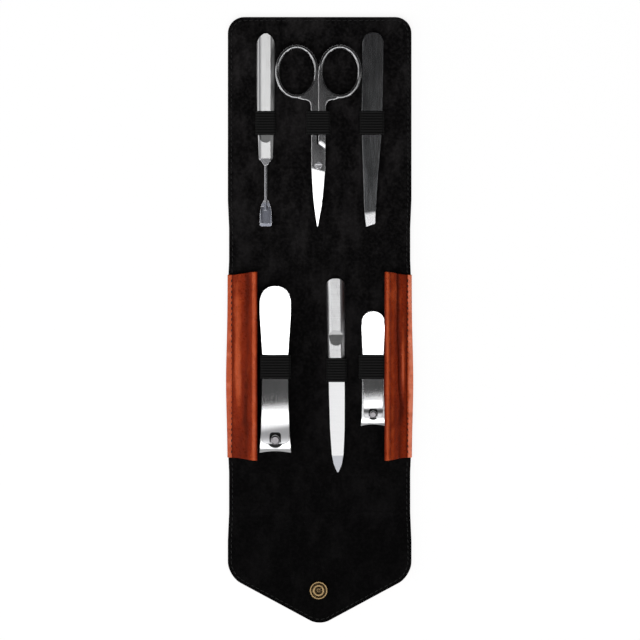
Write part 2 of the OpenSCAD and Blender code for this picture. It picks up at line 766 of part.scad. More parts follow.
module blade(upper) {
    near = blade_clear / 2;
    far = near + blade_t;
    intersection() {
        across(blade_w * 3) blade_profile(upper ? near : -far, upper ? far : -near);
        translate([0, 0, -5]) linear_extrude(10) blade_plan();
    }
}

// Where a shank steps down to its blade: the area below two slanted lines that meet at the seam
step_high = 10.3;
step_slope = 0.72;
relief_w = 1;
relief_len = 6.5;
module below_step(grow) {
    reach = blade_w * 1.5;
    polygon([
        [-reach, -blade_len - 5], [reach, -blade_len - 5],
        [reach, step_high + grow - reach * step_slope], [0, step_high + grow],
        [-reach, step_high + grow - reach * step_slope]
    ]);
}

// The wedge that a ramp takes off a shank's end, facing up for the lower blade's half
module step_ramp(side, upper) {
    w = 3 * shank_w;
    high = scissors_t / 2;
    foot = high - 0.5;
    mirror([0, 0, upper ? 1 : 0]) translate([0, step_high, 0]) rotate([0, 0, -side * atan(step_slope)])
        translate([side * w / 2, 0, 0]) across(w) polygon([
            [-1, foot], [0, foot], [ramp_len, high], [ramp_len, high + 1], [-1, high + 1]
        ]);
}

// One half of the scissors round the screw's middle; side is -1 for the left ring
module scissors_half(side, upper) {
    difference() {
        union() {
            translate([side * ring_x, ring_from_screw, 0]) finger_ring();
            shank(side);
            blade(upper);
        }
        // the other half's shank
        translate([-side * (5 - seam / 2), 0, -5]) linear_extrude(10) difference() {
            translate([-5, 0]) square([10, 60]);
            translate([side * (5 - seam / 2), 0]) below_step(-seam);
        }
        // the other half's blade
        intersection() {
            across(blade_w * 3) blade_profile(upper ? -5 : -blade_clear / 2, upper ? blade_clear / 2 : 5);
            translate([0, 0, -10]) linear_extrude(20) below_step(seam);
        }
        step_ramp(side, upper);
        // a relief beside the seam, in the upper half only
        if (upper) translate([side * relief_w, step_high + seam, -scissors_t])
            cube([relief_w, relief_len, 2 * scissors_t]);
    }
}

module at_screw() {
    translate([scissors_x, screw_y, top_z + scissors_mid]) children();
}

module scissors_fixed_blade() color("#8a8c8e") at_screw() difference() {
    scissors_half(1, false);
    cylinder(r = screw_r, h = 6 * blade_t, center = true);
}

module scissors_moving_blade() color("#9a9c9e") at_screw() difference() {
    scissors_half(-1, true);
    cylinder(r = screw_r + pin_fit, h = 6 * blade_t, center = true);
}

module scissors_screw() color("#b0b2b4") at_screw() {
    top = blade_clear / 2 + blade_t;
    difference() {
        union() {
            translate([0, 0, -top]) cylinder(r = screw_r, h = 2 * top + 0.3);
            translate([0, 0, top + 0.04]) cylinder(r1 = screw_head_r, r2 = screw_head_r - 0.25, h = 0.45);
        }
        translate([-5, -0.25, top + 0.3]) cube([10, 0.5, 1]);
    }
}

// ---------- clippers ----------

// A clipper's sizes, in the order of the functions below them
large = [
    large_x, large_top, large_len, large_arm_t, large_jaw_w,
    15.3, 12.6, 14.1, 12, 1.05, 0.69, 0.95, 0.74, 0.825
];
small = [
    small_x, small_top, small_len, small_arm_t, small_jaw_w,
    11.4, 9.8, 9.4, 10.8, 1.9, 1.15, 2.3, 0.775, 0.845
];

function clipper_len(c) = c[2];
function arm_t(c) = c[3];
function jaw_w(c) = c[4];
// Widths of the lever at its tail, waist and head, and of the arms at their waist
function lever_tail(c) = c[5];
function lever_waist(c) = c[6];
function lever_head(c) = c[7];
function arm_waist(c) = c[8];
// Distance of the pin behind the jaws' curve, reach of the lever past its bar, room beside its tail
function pin_back(c) = c[9];
function lever_over(c) = c[10];
function lever_start(c) = c[11];
// Where the lever's flat by the head starts and ends, as shares of the length
function flat_from(c) = c[12];
function flat_to(c) = c[13];
function rivet_r(c) = arm_t(c) * 0.8;

// Jaws are arcs: their outer radius, their turn and how high the edge lies
function jaw_r(c) = 4.6 * arm_t(c);
jaw_turn = 50;
function edge_z(c) = jaw_r(c) * (1 - cos(jaw_turn));
function jaw_from(c) = clipper_len(c) - jaw_r(c) * sin(jaw_turn);
function gape(c) = jaw_gape * arm_t(c);

// The arms part at a bend just past the tail rivet
function rivet_s(c) = 3.4 * arm_t(c);
function bend_s(c) = 2 * rivet_s(c);
arm_gap = 0.1;
function arm_rise(c) = atan((2 * edge_z(c) + gape(c) - 2 * arm_t(c) - arm_gap) / (jaw_from(c) - bend_s(c)));
function upper_z(c, s) = arm_t(c) + arm_gap + max(s - bend_s(c), 0) * tan(arm_rise(c));

// The pin stands just behind the jaws; the lever turns on its own end bar in the pin's notch
function pin_r(c) = arm_t(c);
function pin_s(c) = jaw_from(c) - pin_back(c);
function bar_r(c) = arm_t(c) * 0.46;
function bar_s(c) = pin_s(c) + pin_r(c) * 0.85;
function bar_z(c) = upper_z(c, pin_s(c)) + arm_t(c) + bar_r(c) + bar_lift;
function head_r(c) = pin_r(c) * 1.5;
function head_z(c) = bar_z(c) + bar_r(c) + pin_fit;
function lever_t(c) = arm_t(c) * 0.9;
function hole_half(c) = head_r(c) + 0.4;

// Middle line of the stowed lever, as [distance from the tail, height]: gently down over the tail, then
// up to a flat by the head, and on to the bar. It is lowest where rest says, as a share of the length.
lever_rest = 0.44;
lever_line_steps = 7;
function lever_line(c) =
    let (
        l = clipper_len(c), low = upper_z(c, l * lever_rest) + arm_t(c) + lever_t(c) / 2 + 0.12,
        h = bar_z(c) - low, rising = flat_from(c) - lever_rest
    )
    smooth_line([
        [lever_start(c), low + 0.24 * h], [l * 0.14, low + 0.15 * h],
        [l * 0.3, low + 0.05 * h], [l * lever_rest, low],
        [l * (lever_rest + rising * 0.3), low + 0.17 * h],
        [l * (lever_rest + rising * 0.72), low + 0.62 * h],
        [l * flat_from(c), low + 0.81 * h], [l * flat_to(c), low + 0.83 * h],
        [bar_s(c) - 1.6 * arm_t(c), low + 0.98 * h], [bar_s(c), bar_z(c)],
        if (lever_over(c) > arm_t(c) / 2) [bar_s(c) + lever_over(c), bar_z(c)]
    ], lever_line_steps);

// Highest place of the stowed lever under a loop, over the clipper's own base
function stack_height(c, y) =
    max([for (k = [-1, 0, 1]) lookup(c[1] - y + k * loop_len / 2, lever_line(c))]) + lever_t(c) / 2;

module at_clipper(c) {
    translate([c[0], c[1], tool_z]) children();
}

// The side profile of an arm, lying on z = 0 with its jaw turned up at the end
module arm_profile(c) {
    r = jaw_r(c);
    t = arm_t(c);
    inner_turn = acos(r * cos(jaw_turn) / (r - t));
    polygon(concat(
        [[0, 0]],
        [for (a = [0:5:jaw_turn]) [-jaw_from(c) - r * sin(a), r * (1 - cos(a))]],
        [for (k = [6:-1:0])
            let (a = inner_turn * k / 6) [-jaw_from(c) - (r - t) * sin(a), r - (r - t) * cos(a)]],
        [[0, t]]
    ));
}

// The plan of an arm: a rounded tail, a slim middle and flared jaws with a hollowed edge
module arm_plan(c) {
    l = clipper_len(c);
    tail = lever_tail(c) / 2 - 0.1;
    waist = arm_waist(c) / 2;
    jaw = jaw_w(c) / 2;
    hollow_r = jaw * jaw / (2 * 0.9) + 0.45;
    difference() {
        polygon(rounded(mirrored([
            [tail, 0, tail * 0.92], [tail, -l * 0.16, 20], [waist, -l * 0.42, 20],
            [waist, -l * 0.72, 16], [jaw - 0.6, -l * 0.915, 3], [jaw, -l - 1, 0]
        ])));
        translate([0, -l - hollow_r + 0.9]) circle(r = hollow_r, $fn = 180);
    }
}

module lower_arm(c) {
    color("#c9cacc") at_clipper(c) difference() {
        intersection() {
            across(jaw_w(c) * 2) arm_profile(c);
            translate([0, 0, -1]) linear_extrude(8) arm_plan(c);
        }
        translate([0, -pin_s(c), -1]) cylinder(r = pin_r(c) + pin_fit, h = 4);
        translate([0, -pin_s(c), -1]) cylinder(r = head_r(c) + pin_fit, h = 1 + arm_t(c) * 0.45);
        translate([0, -rivet_s(c), -1]) cylinder(r = rivet_r(c), h = 4);
    }
}

// The upper arm lies flat over the tail, then rises to its down-turned jaw
module upper_arm(c) {
    rise = arm_rise(c);
    color("#d4d5d7") at_clipper(c) difference() {
        intersection() {
            union() {
                translate([0, 0, arm_t(c) + arm_gap]) intersection() {
                    across(jaw_w(c) * 2) polygon([
                        [0, 0], [0, arm_t(c)], [-bend_s(c), arm_t(c)], [-bend_s(c), 0]
                    ]);
                }
                translate([0, -bend_s(c), arm_t(c) + arm_gap]) rotate([-rise, 0, 0])
                    translate([0, bend_s(c), arm_t(c)]) mirror([0, 0, 1]) intersection() {
                        across(jaw_w(c) * 2) arm_profile(c);
                        translate([0, -clipper_len(c) / 2 - bend_s(c) + 0.05, 0])
                            cube([jaw_w(c) * 2, clipper_len(c), 20], center = true);
                    }
            }
            translate([0, 0, -1]) linear_extrude(14) arm_plan(c);
        }
        translate([0, -pin_s(c), -1]) cylinder(r = head_r(c) + 0.2, h = 14);
        translate([0, -rivet_s(c), -1]) cylinder(r = rivet_r(c) + pin_fit + 0.04, h = 14);
    }
}

module rivet(c) {
    color("#b8b9bb") at_clipper(c) translate([0, -rivet_s(c), 0])
        cylinder(r = rivet_r(c), h = 2 * arm_t(c) + arm_gap);
}

// The pin: a flange let into the lower arm, a shank, a notch for the lever's bar, and a head
module pin(c) {
    color("#a8a9ab") at_clipper(c) translate([0, -pin_s(c), 0]) difference() {
        union() {
            cylinder(r = head_r(c), h = arm_t(c) * 0.45 - pin_fit);
            cylinder(r = pin_r(c), h = head_z(c) + eps);
            translate([0, 0, head_z(c)]) cylinder(r = head_r(c), h = arm_t(c) * 0.42);
            translate([0, 0, head_z(c) + arm_t(c) * 0.42])
                cylinder(r1 = head_r(c), r2 = head_r(c) * 0.72, h = arm_t(c) * 0.22);
        }
        translate([0, pin_s(c) - bar_s(c), bar_z(c)]) {
            rotate([0, 90, 0]) cylinder(r = bar_r(c) + pin_fit, h = 10, center = true);
            translate([-5, -5, -bar_r(c) - pin_fit]) cube([10, 5, 2 * (bar_r(c) + pin_fit)]);
        }
    }
}

// The side profile of the lever: an even strip along its middle line, round at the bar
module lever_profile(c) {
    line = lever_line(c);
    n = len(line) - 1;
    h = lever_t(c) / 2;
    function normal(i) =
        let (d = unit(line[min(i + 1, n)] - line[max(i - 1, 0)])) [-d.y, d.x];
    polygon(concat(
        [for (i = [0:n]) let (p = line[i] + h * normal(i)) [-p.x, p.y]],
        [for (i = [n:-1:0]) let (p = line[i] - h * normal(i)) [-p.x, p.y]]
    ));
}

module lever(c) {
    half = lever_head(c) / 2;
    tail = lever_tail(c) / 2;
    waist = lever_waist(c) / 2;
    hole = hole_half(c);
    reach = bar_s(c) + lever_over(c);
    slot = pin_r(c) + 0.3;
    color("#dcdddf") at_clipper(c) intersection() {
        union() {
            // the strip, with an opening that clears the pin's head
            difference() {
                across(jaw_w(c) * 2) lever_profile(c);
                linear_extrude(20) polygon(rounded(mirrored([
                    [hole, -bar_s(c) + 3.4 * pin_r(c), hole * 0.5], [hole, -bar_s(c) - eps, 0]
                ])));
                // the end is slotted round the pin
                translate([-slot, -clipper_len(c), 0]) cube([2 * slot, clipper_len(c) - bar_s(c), 20]);
            }
            // the bar that lies in the pin's notch
            translate([0, -bar_s(c), bar_z(c)]) rotate([0, 90, 0])
                cylinder(r = lever_t(c) / 2, h = jaw_w(c) * 2, center = true);
        }
        linear_extrude(20) polygon(rounded(mirrored([
            [tail, -lever_start(c), tail * 0.92], [tail, -clipper_len(c) * 0.17, 20],
            [waist, -clipper_len(c) * 0.42, 30], [waist + 0.1, -clipper_len(c) * 0.66, 20],
            [half, -reach + half * 0.8, 3], [half - 0.2, -reach, half * 0.46]
        ])));
    }
}

module large_clipper_lower_arm() lower_arm(large);
module large_clipper_upper_arm() upper_arm(large);
module large_clipper_rivet() rivet(large);
module large_clipper_pin() pin(large);
module large_clipper_lever() lever(large);
module small_clipper_lower_arm() lower_arm(small);
module small_clipper_upper_arm() upper_arm(small);
module small_clipper_rivet() rivet(small);
module small_clipper_pin() pin(small);
module small_clipper_lever() lever(small);

back_leather();
back_board();
back_lining();
upper_spine_leather();
upper_spine_lining();
front_leather();
front_board();
front_lining();
lower_spine_leather();
lower_spine_lining();
flap_leather();
flap_board();
flap_lining();
gusset_seam_left();
gusset_wall_left();
gusset_seam_right();
gusset_wall_right();
pusher_loop();
scissors_loop();
tweezers_loop();
large_clipper_loop();
file_loop();
small_clipper_loop();
snap_cap();
snap_socket();
snap_stud();
snap_post();
cuticle_pusher();
nail_file();
tweezers_lower_arm();
tweezers_upper_arm();
tweezers_weld();
scissors_fixed_blade();
scissors_moving_blade();
scissors_screw();
large_clipper_lower_arm();
large_clipper_upper_arm();
large_clipper_rivet();
large_clipper_pin();
large_clipper_lever();
small_clipper_lower_arm();
small_clipper_upper_arm();
small_clipper_rivet();
small_clipper_pin();
small_clipper_lever();
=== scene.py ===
"""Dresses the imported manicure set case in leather, suede, elastic, thread and steel, and lights it.

The case lies open and face up. X runs across it, Y along it with +Y at the top edge, and Z is up. Shapes are
worked out in millimetres and made metres when a piece is done, so every finished object sits at the origin.
"""

from __future__ import annotations

import logging
import math
from collections.abc import Callable, Iterator, Sequence
from contextlib import contextmanager
from dataclasses import dataclass, field, replace
from enum import Enum
from typing import Any
import bmesh
import bpy
import numpy as np
from mathutils import Matrix, Vector, noise


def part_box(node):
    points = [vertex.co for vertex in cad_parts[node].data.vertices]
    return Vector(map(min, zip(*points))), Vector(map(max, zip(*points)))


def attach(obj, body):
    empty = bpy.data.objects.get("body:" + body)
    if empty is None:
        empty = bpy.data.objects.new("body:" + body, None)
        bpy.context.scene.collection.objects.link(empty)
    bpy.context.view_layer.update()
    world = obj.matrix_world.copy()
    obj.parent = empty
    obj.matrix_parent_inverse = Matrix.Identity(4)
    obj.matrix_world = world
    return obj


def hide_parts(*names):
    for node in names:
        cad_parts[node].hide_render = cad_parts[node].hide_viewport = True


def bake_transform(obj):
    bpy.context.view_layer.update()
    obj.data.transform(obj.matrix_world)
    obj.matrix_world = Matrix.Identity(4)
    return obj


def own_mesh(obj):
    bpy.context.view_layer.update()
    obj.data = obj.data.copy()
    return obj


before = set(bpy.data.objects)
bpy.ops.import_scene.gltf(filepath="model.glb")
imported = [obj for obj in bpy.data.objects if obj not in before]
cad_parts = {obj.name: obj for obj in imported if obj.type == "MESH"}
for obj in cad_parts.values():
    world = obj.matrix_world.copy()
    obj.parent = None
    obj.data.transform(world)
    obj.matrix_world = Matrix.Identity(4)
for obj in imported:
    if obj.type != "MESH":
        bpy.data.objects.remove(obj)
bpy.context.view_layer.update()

MM = 0.001
WHITE = (1, 1, 1, 1)
MERGE = 1e-4  # points closer than this, in millimetres, are one
# Steel colours: SATIN is near the steel's own colour. The two lighter ones are painted highlight, on lit
# mirror faces and on edges.
SATIN = (0.62, 0.62, 0.63)
MIRROR_PAINTED_HIGHLIGHT = (0.88, 0.88, 0.89)
EDGE_PAINTED_HIGHLIGHT = (0.80, 0.80, 0.81)

log = logging.getLogger("case")

Point = tuple[float, float, float]
Colour = tuple[float, float, float]
Test = Callable[[Vector], bool]


class Side(Enum):
    """The left or right half of the case, as the sign of X."""

    LEFT = -1
    RIGHT = 1


class Face(Enum):
    """Which face of a sheet shows: the lining's upper one or the leather's under one."""

    INSIDE = 1
    OUTSIDE = -1


class Brush(Enum):
    """The direction of a steel's polishing lines."""

    ALONG = (4.5, 0.12, 4.5)
    ACROSS = (0.15, 4.5, 4.5)
    NONE = (2.0, 2.0, 2.0)


# ---------- materials ----------


class Value:
    """A number that varies over a surface. It wraps a socket, so that shader maths reads as Python."""

    def __init__(self, surface: Surface, socket: bpy.types.NodeSocket) -> None:
        """Keeps the surface and the socket that gives the number."""
        self.surface = surface
        self.socket = socket

    def _math(self, operation: str, *others: Value | float, clamp: bool = False) -> Value:
        """Adds one Math node.

        Args:
            operation: the node's operation.
            others: the second and third inputs.
            clamp: whether the result is held from 0 to 1.

        Returns:
            The node's result.
        """
        settings = {"operation": operation, "use_clamp": clamp}
        return self.surface.node("ShaderNodeMath", settings, dict(enumerate([self, *others])))

    def __add__(self, other: Value | float) -> Value:
        """Adds."""
        return self._math("ADD", other)

    __radd__ = __add__

    def __sub__(self, other: Value | float) -> Value:
        """Subtracts."""
        return self._math("SUBTRACT", other)

    def __rsub__(self, other: float) -> Value:
        """Subtracts from a plain number."""
        return self._math("MULTIPLY_ADD", -1.0, other)

    def __mul__(self, other: Value | float) -> Value:
        """Multiplies."""
        return self._math("MULTIPLY", other)

    __rmul__ = __mul__

    def __pow__(self, other: float) -> Value:
        """Raises to a power."""
        return self._math("POWER", other)

    def sine(self) -> Value:
        """The sine, in radians."""
        return self._math("SINE")

    def most(self, other: Value | float) -> Value:
        """The greater of the two."""
        return self._math("MAXIMUM", other)

    def held(self) -> Value:
        """The number held from 0 to 1."""
        return self._math("ADD", 0.0, clamp=True)

    def ramp(self, low: float, high: float) -> Value:
        """A smooth step from 0 at low to 1 at high.

        Args:
            low: where the step starts.
            high: where it ends; it may be below low.

        Returns:
            The stepped number.
        """
        flip = low > high
        settings = {"interpolation_type": "SMOOTHSTEP"}
        bounds = {0: self, 1: min(low, high), 2: max(low, high), 3: float(flip), 4: float(not flip)}
        return self.surface.node("ShaderNodeMapRange", settings, bounds)


class Surface:
    """One material under construction, with its nodes added by short calls."""

    def __init__(self, name: str) -> None:
        """Starts an empty material of that name."""
        self.material = bpy.data.materials.new(name)
        self.material.use_nodes = True
        self.tree = self.material.node_tree
        self.tree.nodes.clear()
        self._place: bpy.types.NodeSocket | None = None

    def add(self, kind: str, settings: dict[str, Any], inputs: dict[Any, Any]) -> bpy.types.Node:
        """Adds a node, sets it up and links or fills its inputs.

        Args:
            kind: the node's type.
            settings: the node's own properties, set first.
            inputs: values, Values or sockets by input name or number.

        Returns:
            The node.
        """
        node = self.tree.nodes.new(kind)
        for key, value in settings.items():
            setattr(node, key, value)
        for key, value in inputs.items():
            source = value.socket if isinstance(value, Value) else value
            if isinstance(source, bpy.types.NodeSocket):
                self.tree.links.new(source, node.inputs[key])
            else:
                node.inputs[key].default_value = source
        return node

    def node(self, kind: str, settings: dict[str, Any], inputs: dict[Any, Any], output: int = 0) -> Value:
        """Adds a node and wraps one of its outputs.

        Args:
            kind: the node's type.
            settings: the node's own properties.
            inputs: its inputs, as add() takes them.
            output: the number of the output to wrap.

        Returns:
            The output as a Value.
        """
        return Value(self, self.add(kind, settings, inputs).outputs[output])

    def place(self) -> bpy.types.NodeSocket:
        """The place on the object, in millimetres."""
        if self._place is None:
            where = self.add("ShaderNodeTexCoord", {}, {}).outputs["Object"]
            scaled = self.add("ShaderNodeVectorMath", {"operation": "SCALE"}, {0: where, "Scale": 1 / MM})
            self._place = scaled.outputs[0]
        return self._place

    def axes(self) -> tuple[Value, Value, Value]:
        """The place on the object as three Values, in millimetres."""
        split = self.add("ShaderNodeSeparateXYZ", {}, {0: self.place()})
        return tuple(Value(self, out) for out in split.outputs)

    def attribute(self, name: str) -> Value:
        """A number that the mesh carries under that name."""
        return self.node("ShaderNodeAttribute", {"attribute_name": name}, {}, output=2)

    def noise(
        self,
        size: float,
        detail: float = 2.0,
        stretch: Point = (1, 1, 1),
        shift: Point = (0, 0, 0),
        rough: float = 0.5,
    ) -> Value:
        """Soft random variation.

        Args:
            size: the size of its spots in millimetres.
            detail: how many finer layers it has.
            stretch: how many times finer it is along each axis.
            shift: where it starts, to tell one layer from another.
            rough: how strong the finer layers are.

        Returns:
            The variation, from 0 to 1 round 0.5.
        """
        where = {"Vector": self.place(), "Scale": stretch, "Location": shift}
        mapped = self.add("ShaderNodeMapping", {}, where)
        inputs = {"Vector": mapped.outputs[0], "Scale": 1 / size, "Detail": detail, "Roughness": rough}
        return self.node("ShaderNodeTexNoise", {}, inputs)

    def cells(self, size: float, stretch: Point = (1, 1, 1)) -> Value:
        """Distance to the nearest cell's middle in a pebbled pattern; the size is in millimetres."""
        mapped = self.add("ShaderNodeMapping", {}, {"Vector": self.place(), "Scale": stretch})
        return self.node("ShaderNodeTexVoronoi", {}, {"Vector": mapped.outputs[0], "Scale": 1 / size})

    def mix(self, share: Value, first: Colour | Value, second: Colour | Value) -> Value:
        """Blends two colours.

        Args:
            share: how much of the second colour there is.
            first: the colour at 0.
            second: the colour at 1.

        Returns:
            The blended colour.
        """
        first_input = 6  # the node's colour inputs follow those of its other data types
        ends = {
            first_input + i: (*end, 1.0) if isinstance(end, tuple) else end
            for i, end in enumerate((first, second))
        }
        settings = {"data_type": "RGBA", "clamp_factor": True}
        return self.node("ShaderNodeMix", settings, {0: share, **ends}, output=2)

    def rounded(self, radius: float, samples: int) -> bpy.types.NodeSocket:
        """The normal as if sharp edges were rounded to that radius, in millimetres."""
        return self.add("ShaderNodeBevel", {"samples": samples}, {"Radius": radius * MM}).outputs[0]

    def edges(self, radius: float) -> Value:
        """How far rounding a sharp edge to that radius, in millimetres, would turn the surface."""
        ends = {0: self.rounded(radius, 8), 1: self.add("ShaderNodeNewGeometry", {}, {}).outputs["Normal"]}
        return 1 - self.node("ShaderNodeVectorMath", {"operation": "DOT_PRODUCT"}, ends, output=1)

    def ray(self, kind: str) -> Value:
        """Whether the ray that meets the surface is of that kind."""
        return Value(self, self.add("ShaderNodeLightPath", {}, {}).outputs[f"Is {kind} Ray"])

    def relief(self, height: Value, depth: float, soft_edge: float = 0.0) -> bpy.types.NodeSocket:
        """A bump from a height.

        Args:
            height: the height, from 0 to 1.
            depth: how high 1 stands, in millimetres.
            soft_edge: the radius that sharp edges are shaded round with, in millimetres.

        Returns:
            The normal.
        """
        inputs: dict[Any, Any] = {"Height": height, "Distance": depth * MM}
        if soft_edge > 0:
            inputs["Normal"] = self.rounded(soft_edge, 6)
        return self.add("ShaderNodeBump", {}, inputs).outputs[0]

    def done(self, **sockets: Any) -> bpy.types.Material:
        """Closes the material with its shader.

        Args:
            sockets: the shader's inputs, with _ for a space in a name.

        Returns:
            The finished material.
        """
        inputs = {key.replace("_", " "): value for key, value in sockets.items()}
        shader = self.add("ShaderNodeBsdfPrincipled", {}, inputs)
        self.add("ShaderNodeOutputMaterial", {}, {0: shader.outputs[0]})
        return self.material


@dataclass(frozen=True)
class SuedeFinish:
    """Black split leather: a short nap, brushed lighter in soft patches, and painted lighter towards the top
    and darker towards the bottom as painted light.
    """

    name: str = "black_suede"
    deep: Colour = (0.0009, 0.0008, 0.0009)
    pale: Colour = (0.0150, 0.0138, 0.0142)
    nap: float = 0.28
    patch: float = 9.0
    # the span along Y over which the suede goes from painted dark at the bottom to painted light at the top
    wear_and_painted_shading: tuple[float, float] = (-150.0, 150.0)

    def make(self) -> bpy.types.Material:
        """Makes the material."""
        s = Surface(self.name)
        fibre = s.noise(self.nap, 4, rough=0.7)
        brushed = s.noise(self.patch, 4, stretch=(1.0, 0.6, 1.0), rough=0.62)
        mottle = s.noise(1.6, 3, shift=(7, 3, 0), rough=0.6)
        share = brushed.ramp(0.40, 0.72) * 0.65 + mottle.ramp(0.38, 0.72) * 0.4 + fibre.ramp(0.45, 0.8) * 0.35
        # Painted light: the pale share grows towards the top, so the suede is lighter at the top and darker
        # at the bottom.
        share = (share * (s.axes()[1].ramp(*self.wear_and_painted_shading) * 0.80 + 0.20)).held()
        return s.done(
            Base_Color=s.mix(share, self.deep, self.pale),
            Roughness=0.95,
            Specular_IOR_Level=0.03,
            Sheen_Weight=0.012,
            Sheen_Roughness=0.6,
            Normal=s.relief(fibre * 0.7 + mottle * 0.5, 0.16),
        )


@dataclass(frozen=True)
class LeatherFinish:
    """Oiled cowhide with a fine grain, cloudy where it was pulled, and its cut edge painted."""

    name: str
    body: Colour = (0.400, 0.046, 0.006)
    dark: Colour = (0.160, 0.012, 0.002)
    light: Colour = (0.600, 0.092, 0.016)
    # the colour of the painted sheen on the side walls' flat outer band
    rubbed_and_painted_sheen: Colour = (0.70, 0.18, 0.085)
    edge: Colour = (0.004, 0.003, 0.003)
    edge_paint: float = 1.0
    gloss: float = 0.34
    shine: float = 0.28
    pebble: float = 0.55
    grain: float = 0.07
    bare_from_x: float = 1e3
    bare_below_y: float = -1e3

    def make(self) -> bpy.types.Material:
        """Makes the material."""
        s = Surface(self.name)
        x, y, _ = s.axes()
        clouds = s.noise(11.0, 4, stretch=(1.0, 0.55, 1.0), rough=0.6)
        streaks = s.noise(2.6, 3, stretch=(1.0, 0.35, 1.0), shift=(3, 9, 1), rough=0.6)
        pores = s.cells(self.pebble, stretch=(1.0, 0.8, 1.0))
        crest = s.attribute("crest")
        crease = s.noise(0.9, 5, shift=(1, 5, 2), rough=0.65)
        base = s.mix((clouds.ramp(0.30, 0.55) * 0.75 + streaks * 0.35).held(), self.dark, self.body)
        base = s.mix(clouds.ramp(0.55, 0.82) * 0.7 + streaks.ramp(0.56, 0.8) * 0.3, base, self.light)
        base = s.mix(pores.ramp(0.38, 0.12) * 0.28, base, self.dark)
        # On the side walls the crest marks paint the leather darker in creases and lighter on ridges. This is
        # partly stretched leather turning lighter, and partly painted shade and painted highlight. Above
        # 1.05, the flat outer band gets a painted sheen.
        base = s.mix(crest.ramp(0.0, -1.0), base, tuple(c * 0.55 for c in self.dark))
        base = s.mix((crest.ramp(0.0, 0.9) * (0.6 + streaks * 0.6)).held(), base, self.light)
        base = s.mix(crest.ramp(1.05, 1.5), base, self.rubbed_and_painted_sheen)
        wear_and_painted_shading = (s.noise(0.7, 3, shift=(4, 4, 4)) * 0.4 + s.attribute("edge")).ramp(0.45, 0.75)
        bare = x.ramp(self.bare_from_x, self.bare_from_x + 4)
        bare = bare * y.ramp(self.bare_below_y + 3, self.bare_below_y)
        painted = wear_and_painted_shading * self.edge_paint * (1 - bare)
        height = pores.ramp(0.0, 0.55) * 0.6 + crease * 0.7 + s.noise(0.22, 2) * 0.1
        return s.done(
            Base_Color=s.mix(painted, base, self.edge),
            Roughness=(clouds * -0.16 + crease * 0.22 + self.gloss).held(),
            Specular_IOR_Level=self.shine,
            Coat_Weight=(crest.ramp(0.2, 1.0) * 0.20 + crest.ramp(1.0, 1.5) * 0.2 + 0.01).held(),
            Coat_Roughness=0.22,
            Normal=s.relief(height, self.grain),
        )


@dataclass(frozen=True)
class ElasticFinish:
    """Black ribbed elastic, with fine threads along each rib, its rib tops painted lighter and the grooves
    between ribs darker as painted highlight and painted shade.
    """

    name: str = "black_elastic"
    deep: Colour = (0.0003, 0.0003, 0.0003)
    pale: Colour = (0.0085, 0.0084, 0.0085)

    def make(self) -> bpy.types.Material:
        """Makes the material."""
        s = Surface(self.name)
        x, y, _ = s.axes()
        twist = ((x * 9.0 + y * 5.0).sine() * 0.5 + 0.5) * 0.6 + s.noise(0.3, 2) * 0.4
        # Painted highlight and shade: the rib marks make the rib tops lighter and the grooves between them
        # darker.
        share = s.attribute("rib") * 0.8 + twist * 0.2
        return s.done(
            Base_Color=s.mix(share.ramp(0.3, 0.8), self.deep, self.pale),
            Roughness=0.8,
            Specular_IOR_Level=0.09,
            Sheen_Weight=0.01,
            Normal=s.relief(twist, 0.06),
        )


@dataclass(frozen=True)
class ThreadFinish:
    """Waxed black thread, twisted of fine strands."""

    name: str = "black_thread"
    colour: Colour = (0.002, 0.002, 0.002)
    strand: Colour = (0.012, 0.012, 0.012)

    def make(self) -> bpy.types.Material:
        """Makes the material."""
        s = Surface(self.name)
        x, y, z = s.axes()
        twist = ((x * 14.0 + y * 14.0 + z * 8.0).sine() * 0.5 + 0.5) * 0.8 + s.noise(0.2, 2) * 0.2
        return s.done(
            Base_Color=s.mix(twist.ramp(0.3, 1.0), self.colour, self.strand),
            Roughness=0.65,
            Specular_IOR_Level=0.2,
            Normal=s.relief(twist, 0.05),
        )


@dataclass(frozen=True)
class BoardFinish:
    """Grey brown fibreboard that stiffens the panels."""

    name: str = "stiffening_board"
    pale: Colour = (0.36, 0.31, 0.25)
    dark: Colour = (0.22, 0.18, 0.14)

    def make(self) -> bpy.types.Material:
        """Makes the material."""
        s = Surface(self.name)
        fibre = s.noise(0.8, 4, stretch=(1.0, 0.3, 1.0), rough=0.7)
        colour = s.mix(fibre, self.dark, self.pale)
        return s.done(Base_Color=colour, Roughness=0.9, Normal=s.relief(fibre, 0.08))


@dataclass(frozen=True)
class BrassFinish:
    """Antique brass: dark in its grooves and bright on its rims, where use has bared the metal."""

    name: str = "antique_brass"
    patina: Colour = (0.020, 0.012, 0.006)
    metal: Colour = (0.42, 0.29, 0.14)
    rim_low: float = 4.3
    rim_high: float = 5.1

    def make(self) -> bpy.types.Material:
        """Makes the material."""
        s = Surface(self.name)
        z = s.axes()[2]
        spots = s.noise(0.5, 4, rough=0.65)
        raised = z.ramp(self.rim_low, self.rim_high) * 0.8 + z.ramp(1.4, 0.4) * 0.6
        rubbed_and_painted_sheen = (raised + spots * 0.5 - 0.2).held()
        return s.done(
            Base_Color=s.mix((rubbed_and_painted_sheen * 0.6 + s.edges(0.25).ramp(0.03, 0.3)).held(), self.patina, self.metal),
            Metallic=0.95,
            Roughness=spots * 0.3 + 0.22,
            Normal=s.relief(spots, 0.02, soft_edge=0.1),
        )


